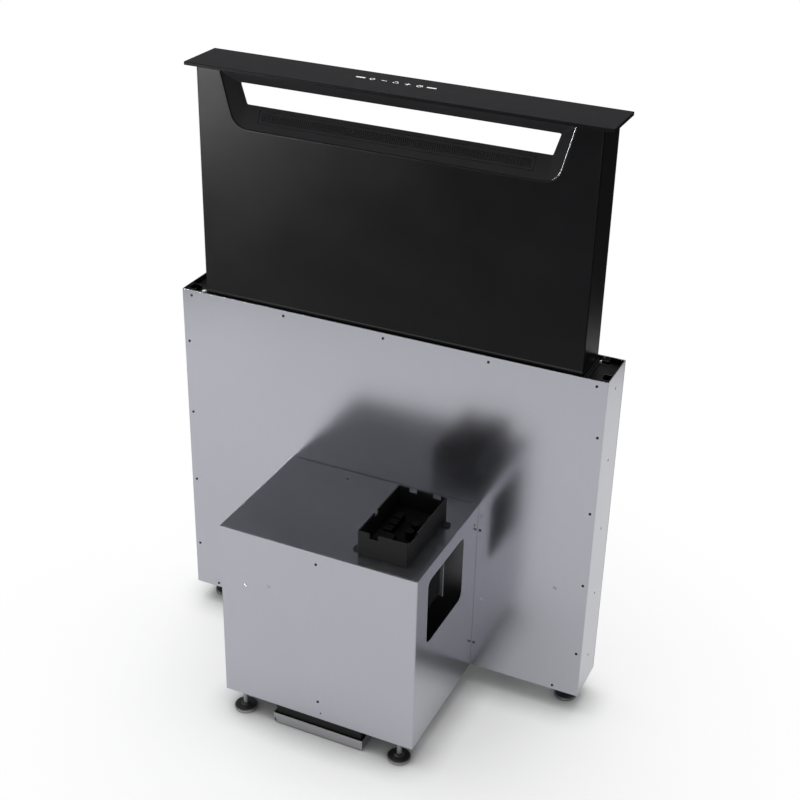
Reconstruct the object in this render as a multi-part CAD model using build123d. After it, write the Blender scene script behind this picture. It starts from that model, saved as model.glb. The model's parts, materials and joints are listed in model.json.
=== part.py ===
from build123d import *
import math
import os

# Downdraft cooker vent: a flat sheet-metal casing that stands in a base cabinet, a black hood
# that rises out of it on a rack-and-pinion lift, and a blower box on the casing's front.
# Millimetres. +Z is up and Z = 0 is the floor under the feet. +X is to the right of someone
# who faces the blower box, -Y is towards them. The origin is the middle of the footprint.
# Every piece is modelled with the hood fully raised.

# ---------------------------------------------------------------- driving dimensions
sheet = 1.2                    # thickness of all folded steel sheet
foot_gap = 46.0                # floor to the underside of casing and blower box

casing_width = 860.0           # fits the clear width of a 900 mm base cabinet
casing_depth = 100.0
casing_height = 688.0
flange = 15.0                  # screw flanges of the folded panels
panel_bend = 2.0               # outside radius of the panels' folds
hem = 12.0                     # folded-over top edge of the front and rear panels

box_width = 396.0              # blower box
box_depth = 280.0
box_height = 376.0
box_x = 7.0                    # the box stands this far right of the casing's middle

hood_width = 762.0
hood_depth = 84.0
hood_gap_front = 8.0           # hood's front face behind the casing's front face
hood_engaged = 80.0            # length of hood left inside the casing when it is up
bend_radius = 3.0              # outside radius of the hood's folds
plate_top = 1182.0             # overall height with the hood up
plate_width = 800.0
plate_depth = 106.0
plate_thickness = 6.0
lift_travel = 400.0

pad_overhang = 6.0             # front foot pads stand proud of the blower box
plate_overhang = 3.0           # cover plate stands proud of the casing's rear
through = 5.0                  # holes are cut from this far before a sheet to this far behind it
running_gap = 0.06             # radial clearance of shafts in their bearings

# ---------------------------------------------------------------- derived planes
total_depth = pad_overhang + box_depth + casing_depth + plate_overhang
casing_rear = total_depth / 2 - plate_overhang
casing_front_y = casing_rear - casing_depth
casing_mid_y = casing_rear - casing_depth / 2
box_front_y = casing_front_y - box_depth
casing_base = foot_gap
casing_top = foot_gap + casing_height
casing_half = casing_width / 2
box_left_x = box_x - box_width / 2
box_right_x = box_x + box_width / 2
box_top_z = foot_gap + box_height
hood_half = hood_width / 2
hood_front_y = casing_front_y + hood_gap_front
hood_rear_y = hood_front_y + hood_depth
hood_base = casing_top - hood_engaged
plate_under = plate_top - plate_thickness


# ---------------------------------------------------------------- helpers
def block(x, y, z):
    # solid box between the low and high values of each axis
    middle = ((x[0] + x[1]) / 2, (y[0] + y[1]) / 2, (z[0] + z[1]) / 2)
    return Pos(*middle) * Box(x[1] - x[0], y[1] - y[0], z[1] - z[0])


def rod_x(x, y, z, radius):
    # round bar along X between two X values
    return Pos((x[0] + x[1]) / 2, y, z) * Rot(0, 90, 0) * Cylinder(radius, x[1] - x[0])


def rod_z(x, y, z, radius):
    # round bar along Z between two Z values
    return Pos(x, y, (z[0] + z[1]) / 2) * Cylinder(radius, z[1] - z[0])


def folded_channel(x, y, z, open_axis, radius):
    # sheet bent into a U in plan, its open side at the far end of the given axis
    outside = block(x, y, z)
    folds = outside.faces().sort_by(open_axis)[0].edges().filter_by(Axis.Z)
    outside = fillet(folds, radius)
    inside = block((x[0] + sheet, x[1] - sheet), (y[0] + sheet, y[1] - sheet), (z[0] - 1, z[1] + 1))
    folds = inside.faces().sort_by(open_axis)[0].edges().filter_by(Axis.Z)
    inside = fillet(folds, radius - sheet)
    mouth = Pos(*(open_axis.direction * 2 * sheet)) * inside
    return outside - inside - mouth


def folded_tray(x, y, z, upstand):
    # sheet floor with its four edges folded up
    outside = fillet(block(x, y, (z, z + upstand)).edges().filter_by(Axis.Z), panel_bend)
    inside = block((x[0] + sheet, x[1] - sheet), (y[0] + sheet, y[1] - sheet), (z + sheet, z + upstand + 1))
    inside = fillet(inside.edges().filter_by(Axis.Z), panel_bend - sheet)
    return outside - inside


def rounded_hole_y(x, y, z, radius):
    # cutter for a rounded rectangular hole through a panel that faces Y
    middle = ((x[0] + x[1]) / 2, (y[0] + y[1]) / 2, (z[0] + z[1]) / 2)
    outline = RectangleRounded(x[1] - x[0], z[1] - z[0], radius)
    return Pos(*middle) * Rot(90, 0, 0) * extrude(outline, (y[1] - y[0]) / 2, both=True)


def rounded_hole_x(x, y, z, radius):
    # cutter for a rounded rectangular hole through a panel that faces X
    middle = ((x[0] + x[1]) / 2, (y[0] + y[1]) / 2, (z[0] + z[1]) / 2)
    outline = RectangleRounded(z[1] - z[0], y[1] - y[0], radius)
    return Pos(*middle) * Rot(0, 90, 0) * extrude(outline, (x[1] - x[0]) / 2, both=True)


def rectangle_tube(x, y, z, wall):
    # open-ended rectangular duct, its outside between the given values
    outside = block(x, y, z)
    inside = block((x[0] + wall, x[1] - wall), (y[0] + wall, y[1] - wall), (z[0] - 1, z[1] + 1))
    return outside - inside


# ---------------------------------------------------------------- casing
inner_front_y = casing_front_y + sheet
inner_rear_y = casing_rear - sheet
port_half_width = 97.0                     # air port behind the blower box
port_low = 30.0
port_high = 340.0
port_radius = 14.0
port_x = (box_x - port_half_width, box_x + port_half_width)
port_z = (casing_base + port_low, casing_base + port_high)
cabinet_hole_radius = 2.5                  # fixing holes in the casing's sides
cabinet_hole_first = 67.0
cabinet_hole_pitch = 147.0
cabinet_hole_count = 5
cabinet_hole_z = [casing_base + cabinet_hole_first + cabinet_hole_pitch * step
                  for step in range(cabinet_hole_count)]
hem_gap = 1.0                              # between the front hem's ends and the side channels
rear_hem_gap = 3.0                         # between the rear hem's ends and the racks


def casing_face(y_outer, inward, fold_half):
    # front or rear sheet with its folded-over top edge
    y_inner = y_outer + inward * sheet
    panel = block((-casing_half, casing_half), sorted((y_outer, y_inner)), (casing_base, casing_top))
    fold = block((-fold_half, fold_half), sorted((y_inner, y_inner + inward * sheet)),
                 (casing_top - hem, casing_top))
    return panel + fold


def casing_front():
    port = rounded_hole_y(port_x, (casing_front_y - through, casing_front_y + through), port_z, port_radius)
    return casing_face(casing_front_y, 1, casing_half - sheet - flange - hem_gap) - port


def casing_rear_panel():
    return casing_face(casing_rear, -1, rack_x[0] - rear_hem_gap)


def casing_side(side):
    # channel whose flanges lie behind the front and rear sheets
    outer = side * casing_half
    x = sorted((outer, outer - side * flange))
    opens = Axis((0, 0, 0), (-side, 0, 0))
    channel = folded_channel(x, (inner_front_y, inner_rear_y), (casing_base, casing_top), opens, panel_bend)
    for z in cabinet_hole_z:
        channel -= rod_x((outer - through, outer + through), casing_mid_y, z, cabinet_hole_radius)
    return channel


foot_hole_radius = 6.0


def casing_floor():
    # its ends fit inside the side channels, its long edges behind their flanges
    reach = casing_half - sheet
    tray = folded_tray((-reach, reach), (inner_front_y + sheet, inner_rear_y - sheet), casing_base, flange)
    for x in rear_foot_x:
        tray -= rod_z(x, casing_mid_y, (casing_base - through, casing_base + through), foot_hole_radius)
    return tray


# black frame let into the casing's open top, with a slot that the hood rises through
frame_drop = 12.0              # the frame's floor lies this far below the casing's rim
slot_gap = 1.0                 # between the hood and the frame's slot
window_gap = 1.5               # round the racks and rails where they pass the frame
frame_floor_z = casing_top - frame_drop


def top_frame():
    reach = casing_half - sheet
    front = inner_front_y + sheet
    rear = inner_rear_y - sheet
    tray = folded_tray((-reach, reach), (front, rear), frame_floor_z, frame_drop)
    full_height = (frame_floor_z - through, casing_top + through)
    slot_x = hood_half + slot_gap
    tray -= block((-slot_x, slot_x), (hood_front_y - slot_gap, hood_rear_y + slot_gap), full_height)
    for side in (-1, 1):
        rack_window = sorted((side * (rack_x[0] - window_gap), side * (rack_x[1] + window_gap)))
        tray -= block(rack_window, (rack_tip_y - window_gap, rear + through), full_height)
        rail_window = sorted((side * (rail_x - window_gap), side * (casing_half + through)))
        tray -= block(rail_window, (rail_y[0] - window_gap, rail_y[1] + window_gap), full_height)
    return tray


seal_gap = 0.2                 # between the seal and the hood's slot
seal_foot = (4.0, 2.0)         # width and thickness
seal_lip = (1.6, 8.0)          # thickness and height


def wiper_seal():
    # rubber lip at each end of the slot, where the frame is wide enough to carry one
    lips = []
    for side in (-1, 1):
        near = side * (hood_half + slot_gap + seal_gap)
        seat_z = frame_floor_z + sheet
        foot = block(sorted((near, near + side * seal_foot[0])), (hood_front_y, hood_rear_y),
                     (seat_z, seat_z + seal_foot[1]))
        lip = block(sorted((near, near + side * seal_lip[0])), (hood_front_y, hood_rear_y),
                    (seat_z, seat_z + seal_lip[1]))
        lips.append(foot + lip)
    return Compound(children=lips)


# ---------------------------------------------------------------- lift: racks, rails, carriage
gear_module = 2.5
pinion_teeth = 16
pressure_angle = math.radians(20)
tooth_addendum = 2.25          # a little short of the module, so that the pinion isn't undercut
tooth_dedendum = 2.75
backlash = 0.30
pitch_radius = gear_module * pinion_teeth / 2
tooth_pitch = math.pi * gear_module
rack_x = (388.0, 402.0)
rack_back = 6.0                # solid bar behind the rack's teeth
rack_root_y = inner_rear_y - rack_back
rack_pitch_y = rack_root_y - tooth_dedendum
rack_tip_y = rack_pitch_y - tooth_addendum
shaft_y = rack_pitch_y - pitch_radius
shaft_z = hood_base - 22.0
shaft_radius = 6.0
rack_run_out = 36.0            # rack left below the shaft when the hood is down
rack_foot_z = shaft_z - lift_travel - rack_run_out
rack_tip_height = 4.0          # rack's end above the top frame's floor sheet
hub_radius = 11.0
hub_length = 4.0


def rack(side):
    # straight-sided teeth, with one tooth centred on the pinion's axis when the hood is up
    half_root = tooth_pitch / 4 - backlash / 4 + tooth_dedendum * math.tan(pressure_angle)
    half_tip = tooth_pitch / 4 - backlash / 4 - tooth_addendum * math.tan(pressure_angle)
    top_z = frame_floor_z + sheet + rack_tip_height
    below = math.floor((shaft_z - rack_foot_z - half_root) / tooth_pitch)
    above = math.floor((top_z - shaft_z - half_root) / tooth_pitch)
    outline = [(inner_rear_y, rack_foot_z), (rack_root_y, rack_foot_z)]
    for tooth in range(-below, above + 1):
        centre = shaft_z + tooth * tooth_pitch
        outline += [(rack_root_y, centre - half_root), (rack_tip_y, centre - half_tip),
                    (rack_tip_y, centre + half_tip), (rack_root_y, centre + half_root)]
    outline += [(rack_root_y, top_z), (inner_rear_y, top_z)]
    profile = make_face(Polyline(*outline, close=True))
    low_x = min(side * rack_x[0], side * rack_x[1])
    return extrude(Plane.YZ.offset(low_x) * profile, rack_x[1] - rack_x[0])


rail_depth = 18.0
rail_width = 24.0
rail_wall = 1.5
rail_lip = 5.5
rail_x = casing_half - sheet - rail_depth
rail_middle_y = casing_front_y + 27.0
rail_y = (rail_middle_y - rail_width / 2, rail_middle_y + rail_width / 2)
rail_z = (casing_base + 16.0, casing_top - 4.0)


def guide_rail(side):
    # lipped channel screwed to the casing's side, open towards the hood
    back = casing_half - sheet
    outside = block((rail_x, back), rail_y, rail_z)
    full_length = (rail_z[0] - through, rail_z[1] + through)
    hollow = block((rail_x + rail_wall, back - rail_wall),
                   (rail_y[0] + rail_wall, rail_y[1] - rail_wall), full_length)
    mouth = block((rail_x - through, rail_x + rail_wall + 1),
                  (rail_y[0] + rail_lip, rail_y[1] - rail_lip), full_length)
    rail = outside - hollow - mouth
    return rail if side > 0 else mirror(rail, about=Plane.YZ)


def pinion(side):
    # involute spur gear on the cross shaft, with a tooth space facing the rack at rest
    base_radius = pitch_radius * math.cos(pressure_angle)
    tip_radius = pitch_radius + tooth_addendum
    root_radius = pitch_radius - tooth_dedendum

    def involute(angle):
        return math.tan(angle) - angle

    half_at_pitch = math.pi / (2 * pinion_teeth) - backlash / (4 * pitch_radius)

    def half_angle(radius):
        contact = math.acos(min(1.0, base_radius / radius))
        return half_at_pitch + involute(pressure_angle) - involute(contact)

    def polar(radius, angle):
        return radius * math.cos(angle), radius * math.sin(angle)

    middle_radius = (base_radius + tip_radius) / 2
    edges = []
    for tooth in range(pinion_teeth):
        centre = (tooth + 0.5) * 2 * math.pi / pinion_teeth
        following = centre + 2 * math.pi / pinion_teeth
        base, mid, tip = (half_angle(r) for r in (base_radius, middle_radius, tip_radius))
        edges.append(Line(polar(root_radius, centre - base), polar(base_radius, centre - base)))
        edges.append(ThreePointArc(polar(base_radius, centre - base), polar(middle_radius, centre - mid),
                                   polar(tip_radius, centre - tip)))
        edges.append(Line(polar(tip_radius, centre - tip), polar(tip_radius, centre + tip)))
        edges.append(ThreePointArc(polar(tip_radius, centre + tip), polar(middle_radius, centre + mid),
                                   polar(base_radius, centre + base)))
        edges.append(Line(polar(base_radius, centre + base), polar(root_radius, centre + base)))
        edges.append(Line(polar(root_radius, centre + base), polar(root_radius, following - base)))
    profile = make_face(edges)
    width = rack_x[1] - rack_x[0]
    gear = extrude(profile, width / 2, both=True)
    gear += Pos(0, 0, -side * (width + hub_length) / 2) * Cylinder(hub_radius, hub_length)
    gear -= Cylinder(shaft_radius, 3 * width)
    at_x = side * (rack_x[0] + rack_x[1]) / 2
    return Pos(at_x, shaft_y, shaft_z) * Rot(0, 90, 0) * Rot(0, 0, 90) * gear


shaft_overhang = 3.0           # beyond the racks
shaft_chamfer = 0.8


def cross_shaft():
    reach = rack_x[1] + shaft_overhang
    return chamfer(rod_x((-reach, reach), shaft_y, shaft_z, shaft_radius).edges(), shaft_chamfer)


bracket_thickness = 3.0
bracket_x = hood_half - sheet - bracket_thickness       # inner face of the carriage's end plates
bracket_z = (hood_base - 70.0, hood_base + 62.0)
bracket_y = (hood_front_y + 6.0, hood_rear_y - 4.0)
bracket_corner = 8.0
bush_radius = 9.0
bush_collar = 3.0              # thickness of the bush's collar, and how far it stands out
bush_inset = 2.0
arm_half = 6.0                 # half the thickness of the arm that carries the guide shoe
arm_z = (hood_base - 68.0, hood_base - 48.0)
arm_seat = 2.4                 # depth of the arm's end inside the shoe
gusset_size = (26.0, 14.0)
gusset_half = 2.0
shoe_z = (hood_base - 72.0, hood_base - 12.0)
shoe_clearance = 0.4
shoe_corner = 3.0
shoe_neck = 4.0


def carriage_end(side):
    # end plate inside the hood's foot, with an arm that reaches out to the guide shoe
    plate = block((bracket_x, bracket_x + bracket_thickness), bracket_y, bracket_z)
    plate = fillet(plate.edges().filter_by(Axis.X), bracket_corner)
    plate -= rod_x((bracket_x - through, bracket_x + 2 * through), shaft_y, shaft_z, bush_radius)
    arm_y = (rail_middle_y - arm_half, rail_middle_y + arm_half)
    arm = block((bracket_x, rail_x + rail_wall + arm_seat), arm_y, arm_z)
    web = make_face(Polyline((0, 0), (gusset_size[0], 0), (0, -gusset_size[1]), close=True))
    web_plane = Plane((bracket_x + bracket_thickness, rail_middle_y, arm_z[0]), x_dir=(1, 0, 0),
                      z_dir=(0, -1, 0))
    part = plate + arm + web_plane * extrude(web, gusset_half, both=True)
    return part if side > 0 else mirror(part, about=Plane.YZ)


def guide_shoe(side):
    # nylon T-block that runs in the guide rail
    clear = shoe_clearance
    head = block((rail_x + rail_wall + clear, casing_half - sheet - rail_wall - clear),
                 (rail_y[0] + rail_wall + clear, rail_y[1] - rail_wall - clear), shoe_z)
    head = fillet(head.edges().filter_by(Axis.Y), shoe_corner)
    neck = block((rail_x - shoe_neck, rail_x + rail_wall + clear + 1),
                 (rail_y[0] + rail_lip + clear, rail_y[1] - rail_lip - clear), shoe_z)
    pocket_y = (rail_middle_y - arm_half, rail_middle_y + arm_half)
    pocket = block((rail_x - through, rail_x + rail_wall + arm_seat), pocket_y, arm_z)
    shoe = head + neck - pocket
    return shoe if side > 0 else mirror(shoe, about=Plane.YZ)


def shaft_bush(side):
    # flanged plain bearing pressed into the end plate
    sleeve = rod_x((bracket_x - bush_collar, bracket_x + bracket_thickness), shaft_y, shaft_z, bush_radius)
    collar_x = (bracket_x - bush_collar - bush_inset, bracket_x)
    collar = rod_x(collar_x, shaft_y, shaft_z, bush_radius + bush_collar)
    bore = rod_x((bracket_x - 2 * through, bracket_x + 2 * through), shaft_y, shaft_z,
                 shaft_radius + running_gap)
    bush = sleeve + collar - bore
    return bush if side > 0 else mirror(bush, about=Plane.YZ)


beam_wall = 2.0
beam_y = (hood_front_y + 8.0, hood_front_y + 38.0)
beam_z = (hood_base - 50.0, hood_base - 10.0)


def carriage_beam():
    # channel between the end plates, open to the rear
    beam = block((-bracket_x, bracket_x), beam_y, beam_z)
    trough = block((-bracket_x - through, bracket_x + through), (beam_y[0] + beam_wall, beam_y[1] + through),
                   (beam_z[0] + beam_wall, beam_z[1] - beam_wall))
    return beam - trough


gearbox_x = (60.0, 116.0)
gearbox_z = (shaft_z - 26.0, shaft_z + 20.0)
gearbox_corner = 5.0
gearbox_boss = (13.0, 6.0)     # radius, and how far it stands out at each side
lift_can_z = shaft_z - 42.0
lift_can_radius = 20.0
lift_can_length = 90.0
lift_neck_radius = 17.0
lift_neck_length = 8.0
lift_cap = (8.0, 8.0)          # radius and length


def lift_motor():
    # worm gearmotor that sits round the cross shaft and bolts to the carriage beam
    gearbox = block(gearbox_x, (beam_y[1], bracket_y[1]), gearbox_z)
    gearbox = fillet(gearbox.edges().filter_by(Axis.X), gearbox_corner)
    boss_x = (gearbox_x[0] - gearbox_boss[1], gearbox_x[1] + gearbox_boss[1])
    boss = rod_x(boss_x, shaft_y, shaft_z, gearbox_boss[0])
    can_x = gearbox_x[1] + lift_neck_length
    neck = rod_x((gearbox_x[0] + 4, can_x), shaft_y, lift_can_z + 2, lift_neck_radius)
    can = rod_x((can_x, can_x + lift_can_length), shaft_y, lift_can_z, lift_can_radius)
    can = fillet(can.edges().sort_by(Axis.X)[-1], 3)
    cap_x = can_x + lift_can_length
    end_cap = rod_x((cap_x - 1, cap_x + lift_cap[1]), shaft_y, lift_can_z, lift_cap[0])
    unit = gearbox + boss + neck + can + end_cap
    bore_x = (boss_x[0] - through, boss_x[1] + through)
    return unit - rod_x(bore_x, shaft_y, shaft_z, shaft_radius + running_gap)


# ---------------------------------------------------------------- hood
# The suction recess is an hourglass: a wide bathtub-shaped mouth in the front narrows to a
# throat a little way in, and opens again towards the rear, so that one can see through it.
mouth_top = plate_under - 3.0
mouth_bottom = foot_gap + 1026.0
mouth_half_top = 332.0
mouth_half_bottom = 306.0
mouth_radius = 34.0
throat_y = hood_front_y + 22.0
throat_top = foot_gap + 1104.0
throat_bottom = foot_gap + 1065.5
throat_half_top = 302.0
throat_half_bottom = 290.0
throat_radius = 3.0
outlet_top = plate_under - 14.0            # rear opening
outlet_bottom = foot_gap + 1030.0
outlet_half_top = 352.0
outlet_half_bottom = 340.0
outlet_radius = 14.0


def recess_outline(half_top, half_bottom, top, bottom, radius, grow=0.0):
    # symmetrical trapezoid with rounded corners in the XZ plane, as a list of joined edges
    slant = math.atan2(half_top - half_bottom, top - bottom)
    widen = grow / math.cos(slant)
    slope = math.tan(slant)
    low = bottom - grow
    high = top + grow
    low_half = half_bottom - grow * slope + widen
    high_half = half_top + grow * slope + widen
    small = 2.0 + grow
    corners = [(-low_half, low), (low_half, low), (high_half, high), (-high_half, high)]
    radii = [radius + grow, radius + grow, small, small]
    return FilletPolyline(*corners, radius=radii, close=True)


def recess_section(y, sizes, grow=0.0):
    outline = recess_outline(*sizes, grow=grow)
    return Plane((0, y, 0), x_dir=(1, 0, 0), z_dir=(0, -1, 0)) * Face(Wire(outline.edges()))


mouth_sizes = (mouth_half_top, mouth_half_bottom, mouth_top, mouth_bottom, mouth_radius)
throat_sizes = (throat_half_top, throat_half_bottom, throat_top, throat_bottom, throat_radius)
outlet_sizes = (outlet_half_top, outlet_half_bottom, outlet_top, outlet_bottom, outlet_radius)
hood_inner_front = hood_front_y + sheet
hood_inner_rear = hood_rear_y - sheet


def funnel(grow):
    # solid hourglass between the hood's front and rear sheets
    front = loft([recess_section(hood_inner_front, mouth_sizes, grow),
                  recess_section(throat_y, throat_sizes, grow)], ruled=True)
    rear = loft([recess_section(throat_y, throat_sizes, grow),
                 recess_section(hood_inner_rear, outlet_sizes, grow)], ruled=True)
    return front + rear


liner_wall = 2.6               # measured in the plane of the hood's face
sill_run = throat_y - hood_inner_front
sill_rise = throat_bottom - mouth_bottom
sill_length = math.hypot(sill_run, sill_rise)
slope = Vector(0, sill_run / sill_length, sill_rise / sill_length)
sill_normal = Vector(0, -slope.Z, slope.Y)
filter_half = 262.0
filter_width = 24.0            # up the slope of the sill
filter_thickness = 8.0
filter_corner = 3.0
filter_rim = 5.0               # plain border round the slots
filter_slot = 1.8              # width of one slot
filter_slot_pitch = 4.0
filter_slot_depth = 3.0
filter_gap = 0.4
seat_wall = 1.5
seat_lip = 2.5                 # ledge under the filter's edges
filter_centre = Vector(0, hood_inner_front, mouth_bottom) + slope * (sill_length / 2 + 3.5)
sill_plane = Plane(filter_centre, x_dir=(1, 0, 0), z_dir=sill_normal)


def sill_box(half_length, width, low, high):
    # box square to the sill, between two heights above its surface
    return sill_plane * Pos(0, 0, (low + high) / 2) * Box(2 * half_length, width, high - low)


def recess_liner():
    # moulded funnel whose sill carries an open-bottomed seat for the grease filter
    seat_floor = -filter_thickness - filter_gap
    slot_half = filter_half + filter_gap
    slot_width = filter_width + 2 * filter_gap
    liner = funnel(liner_wall) - funnel(0)
    liner += sill_box(slot_half + seat_wall, slot_width + 2 * seat_wall, seat_floor - seat_wall, -filter_gap)
    liner -= sill_box(slot_half, slot_width, seat_floor, through)
    liner -= sill_box(slot_half - 2 * seat_lip, slot_width - 2 * seat_lip, seat_floor - through, 0)
    return liner


def grease_filter():
    # cassette that drops into the seat of the sill, with a row of narrow slots in its face
    cassette = Box(2 * filter_half, filter_width, filter_thickness)
    cassette = fillet(cassette.edges().filter_by(Axis.Z), filter_corner)
    slot = Box(filter_slot, filter_width - 2 * filter_rim, 2 * filter_slot_depth)
    slot_count = int((2 * filter_half - 2 * filter_rim) / filter_slot_pitch)
    first = -filter_slot_pitch * (slot_count - 1) / 2
    slots = [Pos(first + filter_slot_pitch * index, 0, filter_thickness / 2) * slot
             for index in range(slot_count)]
    cassette = cassette.cut(*slots)
    return sill_plane * Pos(0, 0, -filter_thickness / 2 - filter_gap) * cassette


def hood_shell():
    # front and both sides folded from one sheet
    shell = folded_channel((-hood_half, hood_half), (hood_front_y, hood_inner_rear),
                           (hood_base, plate_under), Axis.Y, bend_radius)
    mouth = extrude(recess_section(hood_front_y - through, mouth_sizes), -2 * through)
    return shell - mouth


ledge_depth = 11.0


def hood_back():
    # rear sheet with the outlet of the recess, and a ledge under the cover plate
    panel = block((-hood_half, hood_half), (hood_inner_rear, hood_rear_y), (hood_base, plate_under))
    ledge_half = hood_half - sheet - panel_bend
    ledge = block((-ledge_half, ledge_half), (hood_inner_rear - ledge_depth, hood_inner_rear),
                  (plate_under - sheet, plate_under))
    opening = extrude(recess_section(hood_inner_rear - through / 2, outlet_sizes), -2 * through)
    return panel + ledge - opening


plate_corner = 2.0
plate_chamfer = 0.8


def cover_plate():
    half_depth = plate_depth / 2
    plate = block((-plate_width / 2, plate_width / 2), (casing_mid_y - half_depth, casing_mid_y + half_depth),
                  (plate_under, plate_top))
    plate = fillet(plate.edges().filter_by(Axis.Z), plate_corner)
    return chamfer(plate.faces().sort_by(Axis.Z)[-1].edges(), plate_chamfer)


touch_x = (-112.0, 88.0)
touch_y = (casing_mid_y - 3.0, casing_mid_y + 27.0)
touch_height = 9.0
touch_corner = 4.0
touch_socket = (18.0, 6.0, 6.0)
touch_socket_inset = 12.0


def touch_module():
    # sealed housing of the touch keys, stuck under the cover plate
    body = block(touch_x, touch_y, (plate_under - touch_height, plate_under))
    body = fillet(body.edges().filter_by(Axis.Z), touch_corner)
    socket_x = touch_x[1] - touch_socket_inset
    socket_z = plate_under - 2.0
    socket = block((socket_x - touch_socket[0], socket_x), (touch_y[0] - 4, touch_y[0] - 4 + touch_socket[1]),
                   (socket_z - touch_socket[2], socket_z))
    return body + socket


# ---------------------------------------------------------------- blower box
box_inner_front = box_front_y + sheet
side_port_y = (box_front_y + 50.0, box_front_y + 212.0)
side_port_z = (foot_gap + 207.0, foot_gap + 345.0)
side_port_radius = 14.0


def box_front():
    return block((box_left_x, box_right_x), (box_front_y, box_inner_front), (foot_gap, box_top_z))


def box_side(side):
    # channel with a flange behind the front sheet and one against the casing
    outer = box_x + side * box_width / 2
    x = sorted((outer, outer - side * flange))
    opens = Axis((0, 0, 0), (-side, 0, 0))
    panel = folded_channel(x, (box_inner_front, casing_front_y), (foot_gap, box_top_z), opens, panel_bend)
    if side > 0:
        hole_x = (outer - through, outer + through)
        panel -= rounded_hole_x(hole_x, side_port_y, side_port_z, side_port_radius)
    return panel


def box_cover():
    # top sheet between the sides, with its edges folded down
    x = (box_left_x + sheet, box_right_x - sheet)
    y = (box_inner_front + sheet, casing_front_y - sheet)
    tray = folded_tray(x, y, 0, flange)
    return Pos(0, 0, box_top_z) * mirror(tray, about=Plane.XY)


spigot_width = 180.0
spigot_depth = 84.0
spigot_inset = 6.0             # behind the box's front
spigot_wall = 2.5
spigot_foot = 2.5              # clear of the floor
spigot_rim = 9.0               # flange that rests on the box's floor
spigot_rim_thickness = 3.0
spigot_gap = 0.3               # between the spigot and the floor's hole
spigot_x = (box_x - spigot_width / 2, box_x + spigot_width / 2)
spigot_y = (box_front_y + spigot_inset, box_front_y + spigot_inset + spigot_depth)
spigot_flange_z = foot_gap + sheet


def box_floor():
    x = (box_left_x + sheet, box_right_x - sheet)
    y = (box_inner_front + sheet, casing_front_y - sheet)
    tray = folded_tray(x, y, foot_gap, flange)
    hole_z = (foot_gap - through, foot_gap + through)
    tray -= block((spigot_x[0] - spigot_gap, spigot_x[1] + spigot_gap),
                  (spigot_y[0] - spigot_gap, spigot_y[1] + spigot_gap), hole_z)
    for at_x in front_foot_x:
        tray -= rod_z(at_x, front_foot_y, hole_z, foot_hole_radius)
    return tray


# ---------------------------------------------------------------- outlet spigot and flaps
flap_z = foot_gap - 1.0
flap_pin_radius = 2.0
flap_thickness = 1.6
flap_barrel_radius = 2.6
flap_gap = 0.6                 # between a flap's edges and the spigot's walls
flap_pin_recess = 0.3          # the pins end this far inside the spigot's outer faces
flap_offset = 3.2              # the two pins lie this far from the spigot's middle
collar_reach = 5.0
collar_height = 21.0
collar_clip = 9.0              # width of the clipped corner
spigot_middle_y = (spigot_y[0] + spigot_y[1]) / 2


def outlet_spigot():
    # moulded duct connection with a flange inside the box
    rim_z = (spigot_flange_z, spigot_flange_z + spigot_rim_thickness)
    tube = rectangle_tube(spigot_x, spigot_y, (spigot_foot, rim_z[1]), spigot_wall)
    rim = block((spigot_x[0] - spigot_rim, spigot_x[1] + spigot_rim),
                (spigot_y[0], spigot_y[1] + spigot_rim), rim_z)
    rim -= block((spigot_x[0] + 1, spigot_x[1] - 1), (spigot_y[0] + 1, spigot_y[1] - 1),
                 (rim_z[0] - 1, rim_z[1] + 1))
    spigot = tube + rim
    for side in (-1, 1):
        spigot -= rod_x((spigot_x[0] - through, spigot_x[1] + through), spigot_middle_y + side * flap_offset,
                        flap_z, flap_pin_radius + running_gap)
    return spigot


def outlet_collar():
    # angle-section band round the spigot's foot, with one lower corner clipped
    x = (spigot_x[0] - collar_reach, spigot_x[1] + collar_reach)
    y = (spigot_y[0] - collar_reach, spigot_y[1] + collar_reach)
    z = (spigot_foot, spigot_foot + collar_height)
    band = rectangle_tube(x, y, z, sheet)
    web = block(x, y, (z[0], z[0] + sheet))
    web -= block(spigot_x, spigot_y, (z[0] - 1, z[1]))
    clip = make_face(Polyline((x[0] - 1, z[0] - 1), (x[0] + collar_clip, z[0] - 1), (x[0] - 1, z[1] - 2),
                              close=True))
    corner = Plane((0, y[0] - 1, 0), x_dir=(1, 0, 0), z_dir=(0, -1, 0)) * clip
    cutter = extrude(corner, -(sheet + 2))
    return band + web - cutter


def backdraft_flap(side):
    # half of the butterfly damper: it hangs from its own pin beside the spigot's middle
    pin_y = spigot_middle_y + side * flap_offset
    inset = spigot_wall + flap_gap
    edge_y = spigot_y[1] - inset if side > 0 else spigot_y[0] + inset
    x = (spigot_x[0] + inset, spigot_x[1] - inset)
    leaf = block(x, sorted((pin_y, edge_y)), (flap_z - flap_thickness / 2, flap_z + flap_thickness / 2))
    barrel = rod_x(x, pin_y, flap_z, flap_barrel_radius)
    pin_x = (spigot_x[0] + flap_pin_recess, spigot_x[1] - flap_pin_recess)
    pins = rod_x(pin_x, pin_y, flap_z, flap_pin_radius)
    return leaf + barrel + pins


# ---------------------------------------------------------------- blower
scroll_radius = 132.0          # where the spiral joins the straight outlet
tongue_radius = 83.0
scroll_half = 89.0
blower_y = spigot_y[0] + spigot_wall + scroll_radius
blower_z = foot_gap + 190.0
outlet_span = spigot_y[1] - spigot_y[0] - 2 * spigot_wall
tongue_offset = scroll_radius - outlet_span
tongue_angle = math.pi + math.acos(tongue_offset / tongue_radius)
spiral_end = 3 * math.pi
spiral_growth = math.log(scroll_radius / tongue_radius) / (spiral_end - tongue_angle)
inlet_radius = 62.0
bell_radius = 6.0
scroll_foot_z = spigot_flange_z + spigot_rim_thickness


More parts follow.
